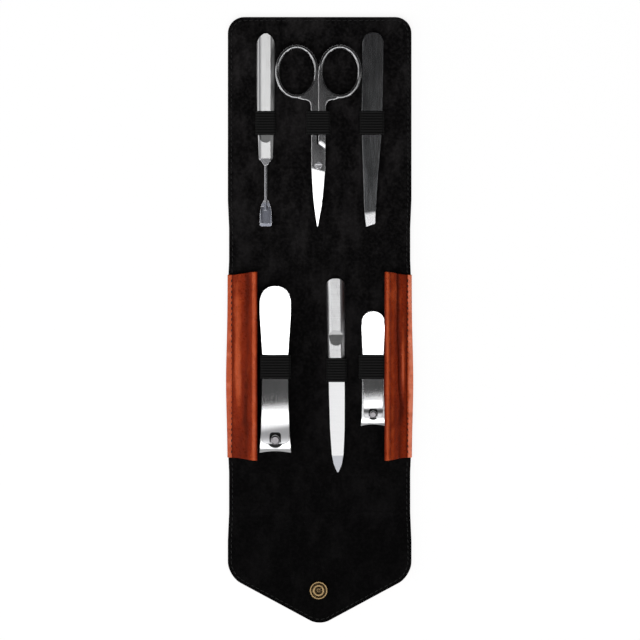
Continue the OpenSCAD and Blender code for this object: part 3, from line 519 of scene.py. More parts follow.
@dataclass(frozen=True)
class SteelZone:
    """A part of a steel tool with its own colour and polish, bounded by slanted lines across X and Y or by a
    disc. On most tools its colour is painted shade or painted highlight; on the file it is grit.
    """

    below_y: float
    colour: Colour
    roughness: float
    slope: float = 0.0
    from_x: float = 0.0
    blur: float = 0.8
    grit: float = 0.0
    above_y: float = -1e3
    metallic: float = 1.0
    disc: Point | None = None

    def share(self, x: Value, y: Value) -> Value:
        """How much of the zone there is at a place.

        Args:
            x: the place's X in millimetres.
            y: its Y.

        Returns:
            A number from 0 to 1.
        """
        if self.disc is not None:
            middle_x, middle_y, radius = self.disc
            away = ((x - middle_x) ** 2 + (y - middle_y) ** 2) ** 0.5
            return away.ramp(radius + self.blur / 2, radius - self.blur / 2)
        line = y + (x - self.from_x) * self.slope
        lower = line.ramp(self.below_y + self.blur / 2, self.below_y - self.blur / 2)
        return lower * line.ramp(self.above_y - self.blur / 2, self.above_y + self.blur / 2)


@dataclass(frozen=True)
class SteelFinish:
    """Stainless steel with polishing lines, faint stains and softened edges. Its base colour, zones and rim
    mostly stand for light and shade, as painted shade and painted highlight.
    """

    name: str
    colour: Colour
    roughness: float
    brush: Brush = Brush.ALONG
    lines: float = 0.5
    soft_edge: float = 0.12
    zones: tuple[SteelZone, ...] = ()
    rim: Colour | None = None
    rim_width: float = 0.45

    def make(self) -> bpy.types.Material:
        """Makes the material."""
        s = Surface(self.name)
        x, y, _ = s.axes()
        lines = s.noise(1.6, 4, stretch=self.brush.value, rough=0.7)
        stain = s.noise(6.0, 4, stretch=(1.6, 0.5, 1.0), shift=(2, 8, 3), rough=0.6)
        dim = tuple(c * (1 - 0.35 * self.lines) for c in self.colour)
        colour = s.mix((lines * 0.6 + stain * 0.6).ramp(0.42, 0.80), dim, self.colour)
        rough = lines * (0.22 * self.lines) + stain * 0.06 + (self.roughness - 0.11 * self.lines - 0.03)
        height = lines * (0.4 + self.lines)
        metal: Value | float = 1.0
        for zone in self.zones:
            share = zone.share(x, y)
            grains = s.cells(0.16)
            pits, dull_and_painted_shade = (tuple(c * part for c in zone.colour) for part in (0.35, 0.8))
            worked = s.mix(grains.ramp(0.1, 0.6) * zone.grit, zone.colour, pits)
            shade = s.mix(lines.ramp(0.3, 0.75) * (0.5 * (1 - zone.grit)), worked, dull_and_painted_shade)
            colour = s.mix(share, colour, shade)
            rough = rough * (1 - share) + share * (lines * 0.1 + zone.roughness)
            height = height * (1 - share) + share * (grains * (3.0 * zone.grit) + lines * 0.3)
            metal = metal * (1 - share) + share * zone.metallic
        # The rim paints the edges. Where its colour is lighter than the steel it is a painted highlight;
        # where it is darker, a painted dark outline standing in for shade.
        if self.rim is not None:
            colour = s.mix(s.edges(self.rim_width).ramp(0.02, 0.22), colour, self.rim)
        return s.done(
            Base_Color=colour,
            Metallic=metal.held() if isinstance(metal, Value) else metal,
            Roughness=rough.held(),
            Normal=s.relief(height, 0.012 * min(1.0, 4 * self.roughness), soft_edge=self.soft_edge),
        )


# ---------- modelling by hand ----------


class Bench:
    """The modelling moves that the pieces share. Everything on the bench is in millimetres."""

    @staticmethod
    def clear() -> None:
        """Deselects every object."""
        bpy.ops.object.select_all(action="DESELECT")

    @classmethod
    def only(cls, obj: bpy.types.Object) -> None:
        """Selects one object and makes it the active one."""
        cls.clear()
        obj.select_set(True)
        bpy.context.view_layer.objects.active = obj

    @staticmethod
    def take(name: str) -> bpy.types.Object:
        """Names the primitive just added and applies its place.

        Args:
            name: the piece's name.

        Returns:
            The object.
        """
        obj = bpy.context.object
        obj.name = obj.data.name = name
        bpy.ops.object.transform_apply(location=True, rotation=True, scale=True)
        return obj

    @classmethod
    def grid(cls, name: str, low: Point, high: Point, columns: int = 1, rows: int = 1) -> bpy.types.Object:
        """A flat grid between two corners.

        Args:
            name: the piece's name.
            low: the corner with the least X and Y.
            high: the corner with the greatest X and Y.
            columns: the faces along X.
            rows: the faces along Y.

        Returns:
            The object.
        """
        cls.clear()
        middle = [(a + b) / 2 for a, b in zip(low, high)]
        bpy.ops.mesh.primitive_grid_add(x_subdivisions=columns, y_subdivisions=rows, size=1, location=middle)
        bpy.context.object.scale = (high[0] - low[0], high[1] - low[1], 1)
        return cls.take(name)

    @classmethod
    @contextmanager
    def edit(cls, obj: bpy.types.Object) -> Iterator[None]:
        """Edit mode on one object, with nothing selected at the start."""
        cls.only(obj)
        bpy.ops.object.mode_set(mode="EDIT")
        bpy.ops.mesh.select_all(action="DESELECT")
        try:
            yield
        finally:
            bpy.ops.object.mode_set(mode="OBJECT")

    @staticmethod
    def pick(obj: bpy.types.Object, kind: str, test: Test) -> None:
        """Selects vertices, edges or faces by place, in edit mode.

        Args:
            obj: the object in edit mode.
            kind: VERT, EDGE or FACE.
            test: says of a vertex whether it counts; an edge or face counts if all its vertices do.
        """
        bpy.ops.mesh.select_mode(type=kind)
        mesh = bmesh.from_edit_mesh(obj.data)
        for item in {"VERT": mesh.verts, "EDGE": mesh.edges, "FACE": mesh.faces}[kind]:
            item.select_set(test(item.co) if kind == "VERT" else all(test(v.co) for v in item.verts))
        mesh.select_flush_mode()
        bmesh.update_edit_mesh(obj.data)

    @staticmethod
    def cut(point: Point, normal: Point, drop: bool = False, fill: bool = False) -> None:
        """Cuts all of the mesh in edit mode with a plane.

        Args:
            point: a point on the plane.
            normal: the plane's normal.
            drop: whether what lies on the normal's side goes.
            fill: whether the cut is closed.
        """
        bpy.ops.mesh.select_all(action="SELECT")
        bpy.ops.mesh.bisect(plane_co=point, plane_no=normal, clear_outer=drop, use_fill=fill, threshold=MERGE)

    @staticmethod
    def places(obj: bpy.types.Object) -> np.ndarray:
        """The object's vertices as rows of X, Y and Z."""
        flat = np.empty(len(obj.data.vertices) * 3)
        obj.data.vertices.foreach_get("co", flat)
        return flat.reshape(-1, 3)

    @staticmethod
    def set_places(obj: bpy.types.Object, rows: np.ndarray) -> None:
        """Moves the object's vertices to those rows."""
        obj.data.vertices.foreach_set("co", rows.ravel())
        obj.data.update()

    @staticmethod
    def mark(obj: bpy.types.Object, name: str, values: np.ndarray) -> None:
        """Stores a number for each vertex, for a material to read."""
        layer = obj.data.attributes.get(name) or obj.data.attributes.new(name, "FLOAT", "POINT")
        layer.data.foreach_set("value", np.ascontiguousarray(values, np.float32))

    @classmethod
    def modify(cls, obj: bpy.types.Object, kind: str, **settings: Any) -> None:
        """Adds a modifier and applies it.

        Args:
            obj: the piece.
            kind: the modifier's type.
            settings: its properties.
        """
        cls.only(obj)
        modifier = obj.modifiers.new(kind.lower(), kind)
        for key, value in settings.items():
            setattr(modifier, key, value)
        bpy.ops.object.modifier_apply(modifier=modifier.name)

    @classmethod
    def outward(cls, obj: bpy.types.Object) -> None:
        """Merges doubles and turns every face outwards."""
        with cls.edit(obj):
            bpy.ops.mesh.select_all(action="SELECT")
            bpy.ops.mesh.remove_doubles(threshold=MERGE)
            bpy.ops.mesh.normals_make_consistent(inside=False)

    @classmethod
    def finish(
        cls, obj: bpy.types.Object, material: bpy.types.Material, slot: str, smooth: float = 35
    ) -> None:
        """Makes a piece metres, smooth and dressed.

        Args:
            obj: the piece.
            material: its material.
            slot: not used.
            smooth: the angle in degrees above which an edge stays sharp.
        """
        cls.only(obj)
        bpy.ops.object.shade_smooth_by_angle(angle=math.radians(smooth))
        obj.data.transform(Matrix.Scale(MM, 4))
        obj.data.materials.clear()
        obj.data.materials.append(material)
        log.info("piece %s has %d faces", obj.name, len(obj.data.polygons))

    @staticmethod
    def repeat(name: str, pattern: bpy.types.Object, places: Sequence[Matrix]) -> bpy.types.Object:
        """Copies a modelled pattern to many places as one piece, and removes the pattern.

        Args:
            name: the new piece's name.
            pattern: the modelled pattern, at the origin.
            places: where each copy goes.

        Returns:
            The new piece.
        """
        corners = Bench.places(pattern)
        faces = [list(p.vertices) for p in pattern.data.polygons]
        rows = [np.c_[corners, np.ones(len(corners))] @ np.array(place).T[:, :3] for place in places]
        shifted = [[v + i * len(corners) for v in face] for i in range(len(places)) for face in faces]
        mesh = bpy.data.meshes.new(name)
        mesh.from_pydata(np.vstack(rows).tolist(), [], shifted)
        obj = bpy.data.objects.new(name, mesh)
        bpy.context.scene.collection.objects.link(obj)
        bpy.data.objects.remove(pattern)
        return obj


@dataclass(frozen=True)
class Stitch:
    """A short thread, plump in its middle, with its ends drawn down into the holes."""

    name: str
    length: float
    thick: float
    droop: float
    segments: int
    taper: float = 1.0

    def make(self) -> bpy.types.Object:
        """Makes the stitch along X, at the origin."""
        Bench.clear()
        bpy.ops.mesh.primitive_uv_sphere_add(
            segments=self.segments, ring_count=8, radius=0.5, rotation=(0, math.pi / 2, 0)
        )
        stitch = Bench.take(self.name)
        rows = Bench.places(stitch)
        rows[:, 0] = np.sign(rows[:, 0]) * np.abs(rows[:, 0] * 2) ** self.taper / 2 * self.length
        rows[:, 1:] *= self.thick
        rows[:, 2] -= self.droop * np.clip(np.abs(rows[:, 0]) / (self.length / 2), 0, 1) ** 3
        Bench.set_places(stitch, rows)
        return stitch


def millimetres(node: str) -> tuple[Vector, Vector]:
    """A CAD node's lowest and highest corner in millimetres."""
    low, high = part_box(node)
    return low / MM, high / MM


def step(values: np.ndarray, low: float, high: float) -> np.ndarray:
    """A smooth step from 0 at low to 1 at high over an array."""
    t = np.clip((values - low) / (high - low), 0, 1)
    return t * t * (3 - 2 * t)


def hill(values: np.ndarray, middle: float | np.ndarray, width: float | np.ndarray) -> np.ndarray:
    """A bell of height 1 over an array."""
    return np.exp(-(((values - middle) / width) ** 2))


def rough_field(rows: np.ndarray, size: float, seed: float) -> np.ndarray:
    """Soft unevenness over points.

    Args:
        rows: the points in millimetres.
        size: the size of its swells in millimetres.
        seed: a number that tells one field from another.

    Returns:
        One number for each point, from about 0 to 1.
    """
    return np.array([0.5 + 0.5 * noise.noise(Vector((r[0] / size, r[1] / size, seed))) for r in rows])


# ---------- the case ----------


@dataclass
class CaseShape:
    """The open case's plan: its outline, folds and levels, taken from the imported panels."""

    corner_r: float = 8.0
    shoulder_r: float = 12.0
    tip_r: float = 9.6
    slope: float = 28.3
    nip_len: float = 14.0
    nip: float = 0.6
    seam_in: float = 1.7
    margin: float = 3.4
    rise_from: float = 2.9
    rise_to: float = 4.3
    seam_w: float = 0.42
    ridges: tuple[float, ...] = (0.12, 0.10, 0.12, 0.30)
    arc_parts: int = 10

    def __post_init__(self) -> None:
        """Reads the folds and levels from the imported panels."""
        front_low, front_high = millimetres("front_leather")
        spine_low, spine_high = millimetres("upper_spine_leather")
        back_low, back_high = millimetres("back_leather")
        lower_low, lower_high = millimetres("lower_spine_leather")
        flap_low, flap_high = millimetres("flap_leather")
        self.half_w = front_high.x
        self.top = front_high.y
        self.tip = flap_low.y
        self.front_fold = (front_low.y + spine_high.y) / 2
        self.back_fold = (spine_low.y + back_high.y) / 2
        self.lower_fold = (back_low.y + lower_high.y) / 2
        self.flap_fold = (lower_low.y + flap_high.y) / 2
        self.under = front_low.z
        self.leather_top = front_high.z
        board_low, board_high = millimetres("front_board")
        self.board_t = board_high.z - board_low.z
        self.lining_top = millimetres("front_lining")[1].z
        self.lining_t = self.lining_top - self.leather_top - self.board_t
        self.apex = self.tip - self.tip_r * (1 / math.cos(math.radians(self.slope)) - 1)
        self.folds = (self.front_fold, self.back_fold, self.lower_fold, self.flap_fold)
        self.edge_rows: np.ndarray = np.empty((0, 2, 2))

    def outline(self, name: str) -> bpy.types.Object:
        """The case's outline as one flat face.

        Args:
            name: the object's name.

        Returns:
            The flat object at Z = 0, with its boundary kept in edge_rows.
        """
        w, angle = self.half_w, math.radians(self.slope)
        sheet = Bench.grid(name, (-w, self.apex, 0), (w, self.top, 0))
        shoulder = self.apex + w * math.tan(angle)
        with Bench.edit(sheet):
            for side in (-1, 1):
                Bench.cut((0, self.apex, 0), (side * math.sin(angle), -math.cos(angle), 0), drop=True)
            shoulder_cut = self.shoulder_r * math.tan((math.pi / 2 - angle) / 2)
            corners = (
                (lambda p: p.y > self.top - 0.1, self.corner_r),
                (lambda p: abs(p.x) > w - 0.1 and abs(p.y - shoulder) < 1, shoulder_cut),
                (lambda p: p.y < self.apex + 0.1, self.tip_r * math.tan(angle)),
            )
            for test, offset in corners:
                Bench.pick(sheet, "VERT", test)
                bpy.ops.mesh.bevel(offset=offset, segments=self.arc_parts, affect="VERTICES", profile=0.5)
            for fold, way in zip(self.folds, (1, -1, 1, -1)):
                Bench.cut((0, fold, 0), (0, 1, 0))
                Bench.cut((0, fold + way * self.nip_len, 0), (0, 1, 0))
            for high, low in ((self.folds[0], self.folds[1]), (self.folds[2], self.folds[3])):
                Bench.pick(sheet, "VERT", lambda p: low - 0.01 < p.y < high + 0.01)
                bpy.ops.transform.resize(value=((w - self.nip) / w, 1, 1), center_override=(0, 0, 0))
        rows = Bench.places(sheet)
        uses: dict[tuple[int, int], int] = {}
        for face in sheet.data.polygons:
            for key in face.edge_keys:
                uses[key] = uses.get(key, 0) + 1
        self.edge_rows = np.array([rows[list(key), :2] for key, count in uses.items() if count == 1])
        return sheet

    def inside_by(self, rows: np.ndarray) -> np.ndarray:
        """The distance of points from the outline, in millimetres."""
        start, way = self.edge_rows[:, 0], self.edge_rows[:, 1] - self.edge_rows[:, 0]
        least = np.full(len(rows), 1e9)
        for a, d in zip(start, way):
            t = np.clip(((rows[:, :2] - a) @ d) / max(d @ d, 1e-12), 0, 1)
            least = np.minimum(least, np.linalg.norm(rows[:, :2] - a - t[:, None] * d, axis=1))
        return least

    def on_board(self, rows: np.ndarray, depth: np.ndarray) -> np.ndarray:
        """How far the lining stands up over a board, from 0 on the margins and spines to 1.

        Args:
            rows: the points.
            depth: their distance from the outline.

        Returns:
            One number for each point.
        """
        y = rows[:, 1]

        def beyond(fold: float, way: int) -> np.ndarray:
            """How far the lining has risen on one side of a fold."""
            return step(way * y, way * fold + self.rise_from, way * fold + self.rise_to)

        panels = beyond(self.front_fold, 1)
        panels += beyond(self.back_fold, -1) * beyond(self.lower_fold, 1)
        panels += beyond(self.flap_fold, -1)
        return panels * step(depth, self.margin - 0.5, self.margin + 0.9)

    def lining_height(self, rows: np.ndarray, depth: np.ndarray) -> np.ndarray:
        """The height of the suede's face.

        Args:
            rows: the points.
            depth: their distance from the outline.

        Returns:
            Z for each point.
        """
        y = rows[:, 1]
        low = self.leather_top + self.lining_t
        height = low + self.board_t * self.on_board(rows, depth)
        height -= 0.26 * (1 - step(depth, 0.0, 0.7)) ** 2 + 0.14 * hill(depth, self.seam_in, self.seam_w)
        height -= 0.10 * rough_field(rows, 17.0, 2.0) + 0.05 * rough_field(rows, 5.0, 4.0)
        for fold, amount in zip(self.folds, self.ridges):
            height += amount * hill(y, fold, 0.8) * step(depth, 0.5, 3.0)
        height -= 0.12 * hill(y, (self.lower_fold + self.flap_fold) / 2, 5.0)
        return np.minimum(height, self.lining_top - 0.01)

    def leather_height(self, rows: np.ndarray, depth: np.ndarray) -> np.ndarray:
        """The height of the outer leather's under face.

        Args:
            rows: the points.
            depth: their distance from the outline.

        Returns:
            Z for each point.
        """
        y = rows[:, 1]
        height = self.under + 0.34 * (1 - step(depth, 0.0, 0.8)) ** 2
        height += 0.18 * hill(depth, self.seam_in, self.seam_w)
        height += 0.06 * rough_field(rows, 22.0, 6.0)
        for fold in self.folds:
            height += 0.12 * hill(y, fold, 1.2)
        return height


@dataclass(frozen=True)
class Cut:
    """One length of a sheet between two cuts, with the joint that it bends across."""

    name: str
    high: float
    low: float
    above: str
    below: str
    fold: float
    nodes: tuple[str, ...]


@dataclass
class SheetSet:
    """The suede lining and the outer leather, each cut from one sheet into lengths at the spines' middles and
    half way down the back.
    """

    shape: CaseShape
    lining: bpy.types.Material
    leather: bpy.types.Material
    thread: bpy.types.Material
    fold_half: float = 2.4
    rings: tuple[float, ...] = (0.2, 0.25, 0.4, 0.4, 0.4, 0.35, 0.45, 0.5, 0.6, 0.8, 1.2)
    coarse: float = 5.5
    pitch: float = 2.7
    thread_d: float = 0.5
    flap_extra: float = 0.0015
    slant: float = 6.0
    lift: float = 0.12
    line_step: float = 0.4
    cuts: tuple[Cut, ...] = field(init=False)

    def __post_init__(self) -> None:
        """Works out where the sheets are cut: at the spines' middles and half way down the back."""
        s = self.shape
        upper = (s.front_fold + s.back_fold) / 2
        lower = (s.lower_fold + s.flap_fold) / 2
        middle = (s.back_fold + s.lower_fold) / 2
        far = s.top + 10
        self.cuts = (
            Cut("front", far, upper, "front_panel", "upper_spine", s.front_fold, ("front", "upper_spine")),
            Cut("back_upper", upper, middle, "upper_spine", "back_panel", s.back_fold, ("back",)),
            Cut("back_lower", middle, lower, "back_panel", "lower_spine", s.lower_fold, ("back",)),
            Cut("flap", lower, -far, "lower_spine", "closing_flap", s.flap_fold, ("flap", "lower_spine")),
        )

    def master(self, name: str, face: Face) -> bpy.types.Object:
        """The whole sheet in one piece, with its relief.

        Args:
            name: the object's name.
            face: which face shows.

        Returns:
            The closed sheet in millimetres.
        """
        s = self.shape
        sheet = s.outline(name)
        with Bench.edit(sheet):
            bpy.ops.mesh.select_mode(type="FACE")
            bpy.ops.mesh.select_all(action="SELECT")
            for width in self.rings:
                bpy.ops.mesh.inset(thickness=width, depth=0, use_boundary=True, use_even_offset=True)
            lines = set(np.round(np.arange(s.tip + 4, s.top - 4, self.coarse), 3))
            for fold in s.folds:
                lines |= {round(fold + i * self.line_step, 3) for i in range(-8, 9)}
            for y in sorted(lines):
                Bench.cut((0, float(y), 0), (0, 1, 0))
            for x in np.arange(-36, 37, 9):
                Bench.cut((float(x), 0, 0), (1, 0, 0))
            bpy.ops.mesh.select_all(action="SELECT")
            bpy.ops.mesh.extrude_region_move(TRANSFORM_OT_translate={"value": (0, 0, 1)})
        Bench.outward(sheet)
        rows = Bench.places(sheet)
        depth = s.inside_by(rows)
        upper = rows[:, 2] > 0.5
        if face is Face.INSIDE:
            raised = s.board_t * (s.on_board(rows, depth) > 0.5)
            rows[:, 2] = np.where(upper, s.lining_height(rows, depth), s.leather_top + raised)
        else:
            rows[:, 2] = np.where(upper, s.leather_top, s.leather_height(rows, depth))
        Bench.set_places(sheet, rows)
        Bench.mark(sheet, "edge", 1 - step(depth, 0.0, 0.35))
        return sheet

    def lengths(self, face: Face) -> None:
        """Cuts the master sheet into lengths that each hold one fold.

        Args:
            face: the lining or the leather.
        """
        inside = face is Face.INSIDE
        layer = "lining" if inside else "leather"
        master = self.master(f"whole_{layer}", face)
        for cut in self.cuts:
            piece = master.copy()
            piece.data = master.data.copy()
            piece.name = piece.data.name = f"{cut.name}_{'suede' if inside else 'outer_leather'}"
            bpy.context.scene.collection.objects.link(piece)
            with Bench.edit(piece):
                if cut.high < self.shape.top:
                    Bench.cut((0, cut.high, 0), (0, 1, 0), drop=True, fill=True)
                if cut.low > self.shape.tip:
                    Bench.cut((0, cut.low, 0), (0, -1, 0), drop=True, fill=True)
            material, slot = (self.lining, "suede") if inside else (self.leather, "outer_leather")
            Bench.finish(piece, material, slot)
            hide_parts(*(f"{node}_{layer}" for node in cut.nodes))
            self.bend(piece, cut)
            low = max(cut.low, self.shape.tip)
            length = (min(cut.high, self.shape.top) - low) * MM
            width = 2 * self.shape.half_w * MM
            area = 0.5 * (width * length) + self.flap_extra if cut.name == "flap" else None
        bpy.data.objects.remove(master)

    def bend(self, piece: bpy.types.Object, cut: Cut) -> None:
        """Bakes a piece's place into its mesh; the fold's span is worked out but the piece is not bent."""
        start, end = cut.fold + self.fold_half, cut.fold - self.fold_half
        start * MM
        end * MM
        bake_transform(piece)

    def seam_line(self) -> list[tuple[Vector, float]]:
        """Places along the perimeter's seam, one stitch apart.

        Returns:
            Each stitch's middle and its turn in radians.
        """
        s = self.shape
        guide = s.outline("seam_guide")
        with Bench.edit(guide):
            bpy.ops.mesh.select_mode(type="FACE")
            bpy.ops.mesh.select_all(action="SELECT")
            bpy.ops.mesh.inset(thickness=s.seam_in, depth=0, use_boundary=True, use_even_offset=True)
            bpy.ops.mesh.region_to_loop()
        mesh = bmesh.new()
        mesh.from_mesh(guide.data)
        ring = [e for e in mesh.edges if e.select]
        links: dict[int, list[int]] = {}
        for edge in ring:
            a, b = (v.index for v in edge.verts)
            links.setdefault(a, []).append(b)
            links.setdefault(b, []).append(a)
        mesh.verts.ensure_lookup_table()
        order = [next(iter(links))]
        while len(order) < len(links):
            ahead = [n for n in links[order[-1]] if n not in order[-2:]]
            order.append(ahead[0])
        loop = [Vector(mesh.verts[i].co) for i in order]
        mesh.free()
        bpy.data.objects.remove(guide)
        places, travelled, wanted = [], 0.0, self.pitch / 2
        for a, b in zip(loop, loop[1:] + loop[:1]):
            span = (b - a).length
            while wanted <= travelled + span:
                at = a.lerp(b, (wanted - travelled) / span)
                places.append((at, math.atan2(b.y - a.y, b.x - a.x)))
                wanted += self.pitch
            travelled += span
        return places

    def sew(self, face: Face, covered: Callable[[Vector], bool]) -> None:
        """Sews the perimeter on one face, with a piece of stitching for each length of sheet.

        Args:
            face: the face that the stitches show on.
            covered: says where another seam takes this one's place.
        """
        inside = face is Face.INSIDE
        slant, lift = math.radians(self.slant), self.lift * face.value
        stitch = Stitch("stitch", self.pitch * 0.86, self.thread_d, 0.30, 8, taper=0.8)
        line = [(at, turn) for at, turn in self.seam_line() if not covered(at)]
        for cut in self.cuts:
            own = [(at, turn) for at, turn in line if cut.low < at.y <= cut.high]
            rows = np.array([[at.x, at.y, 0] for at, _ in own])
            depth = self.shape.inside_by(rows)
            height = self.shape.lining_height if inside else self.shape.leather_height
            flip = Matrix.Identity(4) if inside else Matrix.Rotation(math.pi, 4, "X")
            places = [
                Matrix.Translation((at.x, at.y, z + lift))
                @ Matrix.Rotation(turn + slant, 4, "Z")
                @ flip
                for (at, turn), z in zip(own, height(rows, depth))
            ]
            name = f"{cut.name}_{'inner' if inside else 'outer'}_stitches"
            piece = Bench.repeat(name, stitch.make(), places)
            Bench.finish(piece, self.thread, "suede" if inside else "outer_leather", smooth=80)
            self.bend(piece, cut)


@dataclass
class Gusset:
    """A leather side wall, sewn along the case's edge and leaning in over the tools."""

    side: Side
    shape: CaseShape
    leather: bpy.types.Material
    thread: bpy.types.Material
    lean: float
    width: float = 13.4
    thick: float = 1.05
    fold_x: float = 42.4
    fold_z: float = 4.45
    crease_x: float = 42.95
    stitch_x: float = 43.1
    outer_x: float = 45.1
    flare: float = 1.4
    across: int = 44
    along: int = 96
    pitch: float = 2.7
    stitch_d: float = 0.6
    joint_before: float = 0.9
    joint_after: float = 1.1
    edge_r: float = 0.3

    def section(self, t: np.ndarray) -> tuple[np.ndarray, np.ndarray]:
        """The wall's middle line from its sewn edge to its free edge.

        Args:
            t: the share of the strip's width, from 0 at the sewn edge.

        Returns:
            The distance from the case's middle and the height.
        """
        lean, reach = math.radians(self.lean), self.width
        seat = self.shape.leather_top + self.shape.lining_t + self.thick / 2 + 0.05
        foot = [[self.outer_x, seat - 0.1], [44.2, seat + 0.05], [self.crease_x + 0.3, seat - 0.05]]
        start = np.array([*foot, [self.crease_x, seat + 0.2], [self.fold_x, self.fold_z]])
        share = np.linspace(0.06, 1, 12)
        bow = 0.7 * np.sin(math.pi * share)
        wall = np.c_[
            self.fold_x - reach * share * math.cos(lean) - bow * math.sin(lean),
            self.fold_z + reach * share * math.sin(lean) + bow * math.cos(lean),
        ]
        line = np.vstack([start, wall])
        run = np.r_[0, np.cumsum(np.linalg.norm(np.diff(line, axis=0), axis=1))]
        return np.interp(t, run / run[-1], line[:, 0]), np.interp(t, run / run[-1], line[:, 1])

    def folds(self, t: np.ndarray, y: np.ndarray) -> tuple[np.ndarray, np.ndarray]:
        """How the used leather swells off the plain wall.

        Args:
            t: the share of the strip's width.
            y: the place along the case.

        Returns:
            The swell in millimetres, and how much lighter or darker the leather is painted, from 1 to -1 and
            above 1 on the outer band. This is partly stretched leather turning lighter, and partly painted
            highlight, painted shade and painted sheen.
        """
        roll = hill(t, 0.89, 0.06)
        band = 1 - step(t, 0.10, 0.15)
        if self.side is Side.LEFT:
            belly = hill(t, 0.37 + 0.03 * np.sin(y / 11), 0.12) * hill(y, -24, 22)
            upper = hill(t, 0.34, 0.12) * hill(y, 8, 16)
            valley = hill(t, 0.67 - 0.05 * hill(y, -45, 14), 0.10) * (0.8 + 0.2 * np.sin(y / 9))
            hollow = hill(t, 0.45, 0.18) * (1 - step(y, -58, -36))
            depth = 0.75
        else:
            middle = 0.50 - 0.05 * step(-y, 5, 20) - 0.11 * hill(y, -42, 7)
            belly = hill(t, 0.31, 0.065) * hill(y, -22, 15)
            upper = 0.6 * hill(t, 0.70, 0.08)
            valley = hill(t, middle, 0.065 + 0.04 * hill(y, -46, 12)) * (0.45 + 0.55 * step(y, -54, -42))
            hollow = 0.5 * hill(t, 0.36, 0.12) * (1 - step(y, -52, -40))
            depth = 1.0
        swell = 1.1 * belly + 0.5 * upper - 0.9 * valley - 0.5 * hollow + 0.55 * roll
        # The shading marks work as follows. Belly, upper and roll are painted lighter as painted highlight,
        # with part of that standing for stretched leather. Valley and hollow are painted darker as painted
        # shade. Band lifts the outer strip above 1 for a painted sheen.
        pull_up_and_painted_shading = 0.9 * belly + 0.45 * upper - depth * valley - 0.5 * hollow + 0.95 * roll
        return step(t, 0.18, 0.3) * swell, step(t, 0.17, 0.24) * pull_up_and_painted_shading + (1.1 + 0.3 * (depth > 0.9)) * band

    def make(self) -> None:
        """Makes the wall and its stitches, and joins the stitches to the back panel's body."""
        name = self.side.name.lower()
        low, high = millimetres(f"gusset_seam_{name}")
        middle, half = (low.y + high.y) / 2, (high.y - low.y) / 2
        wall = Bench.grid(f"gusset_{name}_leather", (0, -1, 0), (1, 1, 0), self.across, self.along)
        rows = Bench.places(wall)
        t, v = rows[:, 0].copy(), rows[:, 1].copy()
        x, z = self.section(t)
        near = np.clip(t, 0.01, 0.99)
        x0, z0 = self.section(near - 0.01)
        x1, z1 = self.section(near + 0.01)
        slope = np.arctan2(z1 - z0, x0 - x1)
        y = middle + v * (half + self.flare * step(t, 0.15, 1.0))
        field_rows = np.c_[t * 16, y, y * 0]
        wear_and_painted_shading = rough_field(field_rows, 9.0, 3.0 + self.side.value) - 0.5
        swell, _ = self.folds(t, y)
        swell += 0.35 * step(t, 0.25, 0.6) * wear_and_painted_shading
        bulge = 0.75 * hill(y, -30, 24) * (1 - step(t, 0.0, 0.3))
        rows[:, 0] = self.side.value * (x + swell * np.sin(slope) + bulge)
        rows[:, 1] = y
        rows[:, 2] = z + swell * np.cos(slope)
        Bench.set_places(wall, rows)
        Bench.modify(wall, "SOLIDIFY", thickness=self.thick, offset=0.0, use_even_offset=True)
        sharp = math.radians(50)
        Bench.modify(wall, "BEVEL", width=self.edge_r, segments=3, limit_method="ANGLE", angle_limit=sharp)
        Bench.outward(wall)
        self.shade(wall)
        Bench.finish(wall, self.leather, "gusset_leather", smooth=60)
        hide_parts(f"gusset_seam_{name}", f"gusset_wall_{name}")
        start = self.side.value * (self.fold_x + self.joint_before) * MM
        end = self.side.value * (self.fold_x - self.joint_after) * MM
        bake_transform(wall)
        flat = ((self.width + self.outer_x - self.fold_x) * MM, 2 * (half + self.flare) * MM)
        self.sew(name, middle, half)

    def shade(self, wall: bpy.types.Object) -> None:
        """Marks on the finished wall where its leather is painted lighter or darker, for its material. This
        is partly stretched leather turning lighter, and partly painted highlight on ridges and painted shade
        in creases.
        """
        rows = Bench.places(wall)
        shares = np.linspace(0, 1, 240)
        reach = self.section(shares)[0]
        t = np.interp(-np.abs(rows[:, 0]), -reach, shares)
        _, pull_up_and_painted_shading = self.folds(t, rows[:, 1])
        wear_and_painted_shading = rough_field(np.c_[t * 16, rows[:, 1] * 0.7, rows[:, 1] * 0], 2.6, 8.0 + self.side.value) - 0.5
        seam = hill(t, 0.165, 0.018) + 0.5 * hill(t, 0.99, 0.012)
        # The crest marks hold painted highlight and painted shade with random tone, and run darker along the
        # stitched seam and along the free edge.
        Bench.mark(wall, "crest", np.clip(pull_up_and_painted_shading + 0.5 * wear_and_painted_shading - seam, -1, 1.5))
        Bench.mark(wall, "edge", 0 * t)

    def sew(self, name: str, middle: float, half: float) -> None:
        """Sews the wall's foot down.

        Args:
            name: the side's name.
            middle: the wall's middle along Y.
            half: half the sewn edge's length.
        """
        stitch = Stitch("foot_stitch", self.pitch * 0.82, self.stitch_d, 0.32, 10)
        top = self.shape.leather_top + self.shape.lining_t + self.thick + 0.16
        count = int((2 * half - 2.4) / self.pitch)
        start = middle - (count - 1) * self.pitch / 2
        places = [
            Matrix.Translation((self.side.value * self.stitch_x, start + i * self.pitch, top))
            @ Matrix.Rotation(math.radians(90 + 5 * self.side.value), 4, "Z")
            for i in range(count)
        ]
        piece = Bench.repeat(f"gusset_{name}_stitches", stitch.make(), places)
        Bench.finish(piece, self.thread, "gusset_leather", smooth=80)
        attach(piece, "back_panel")


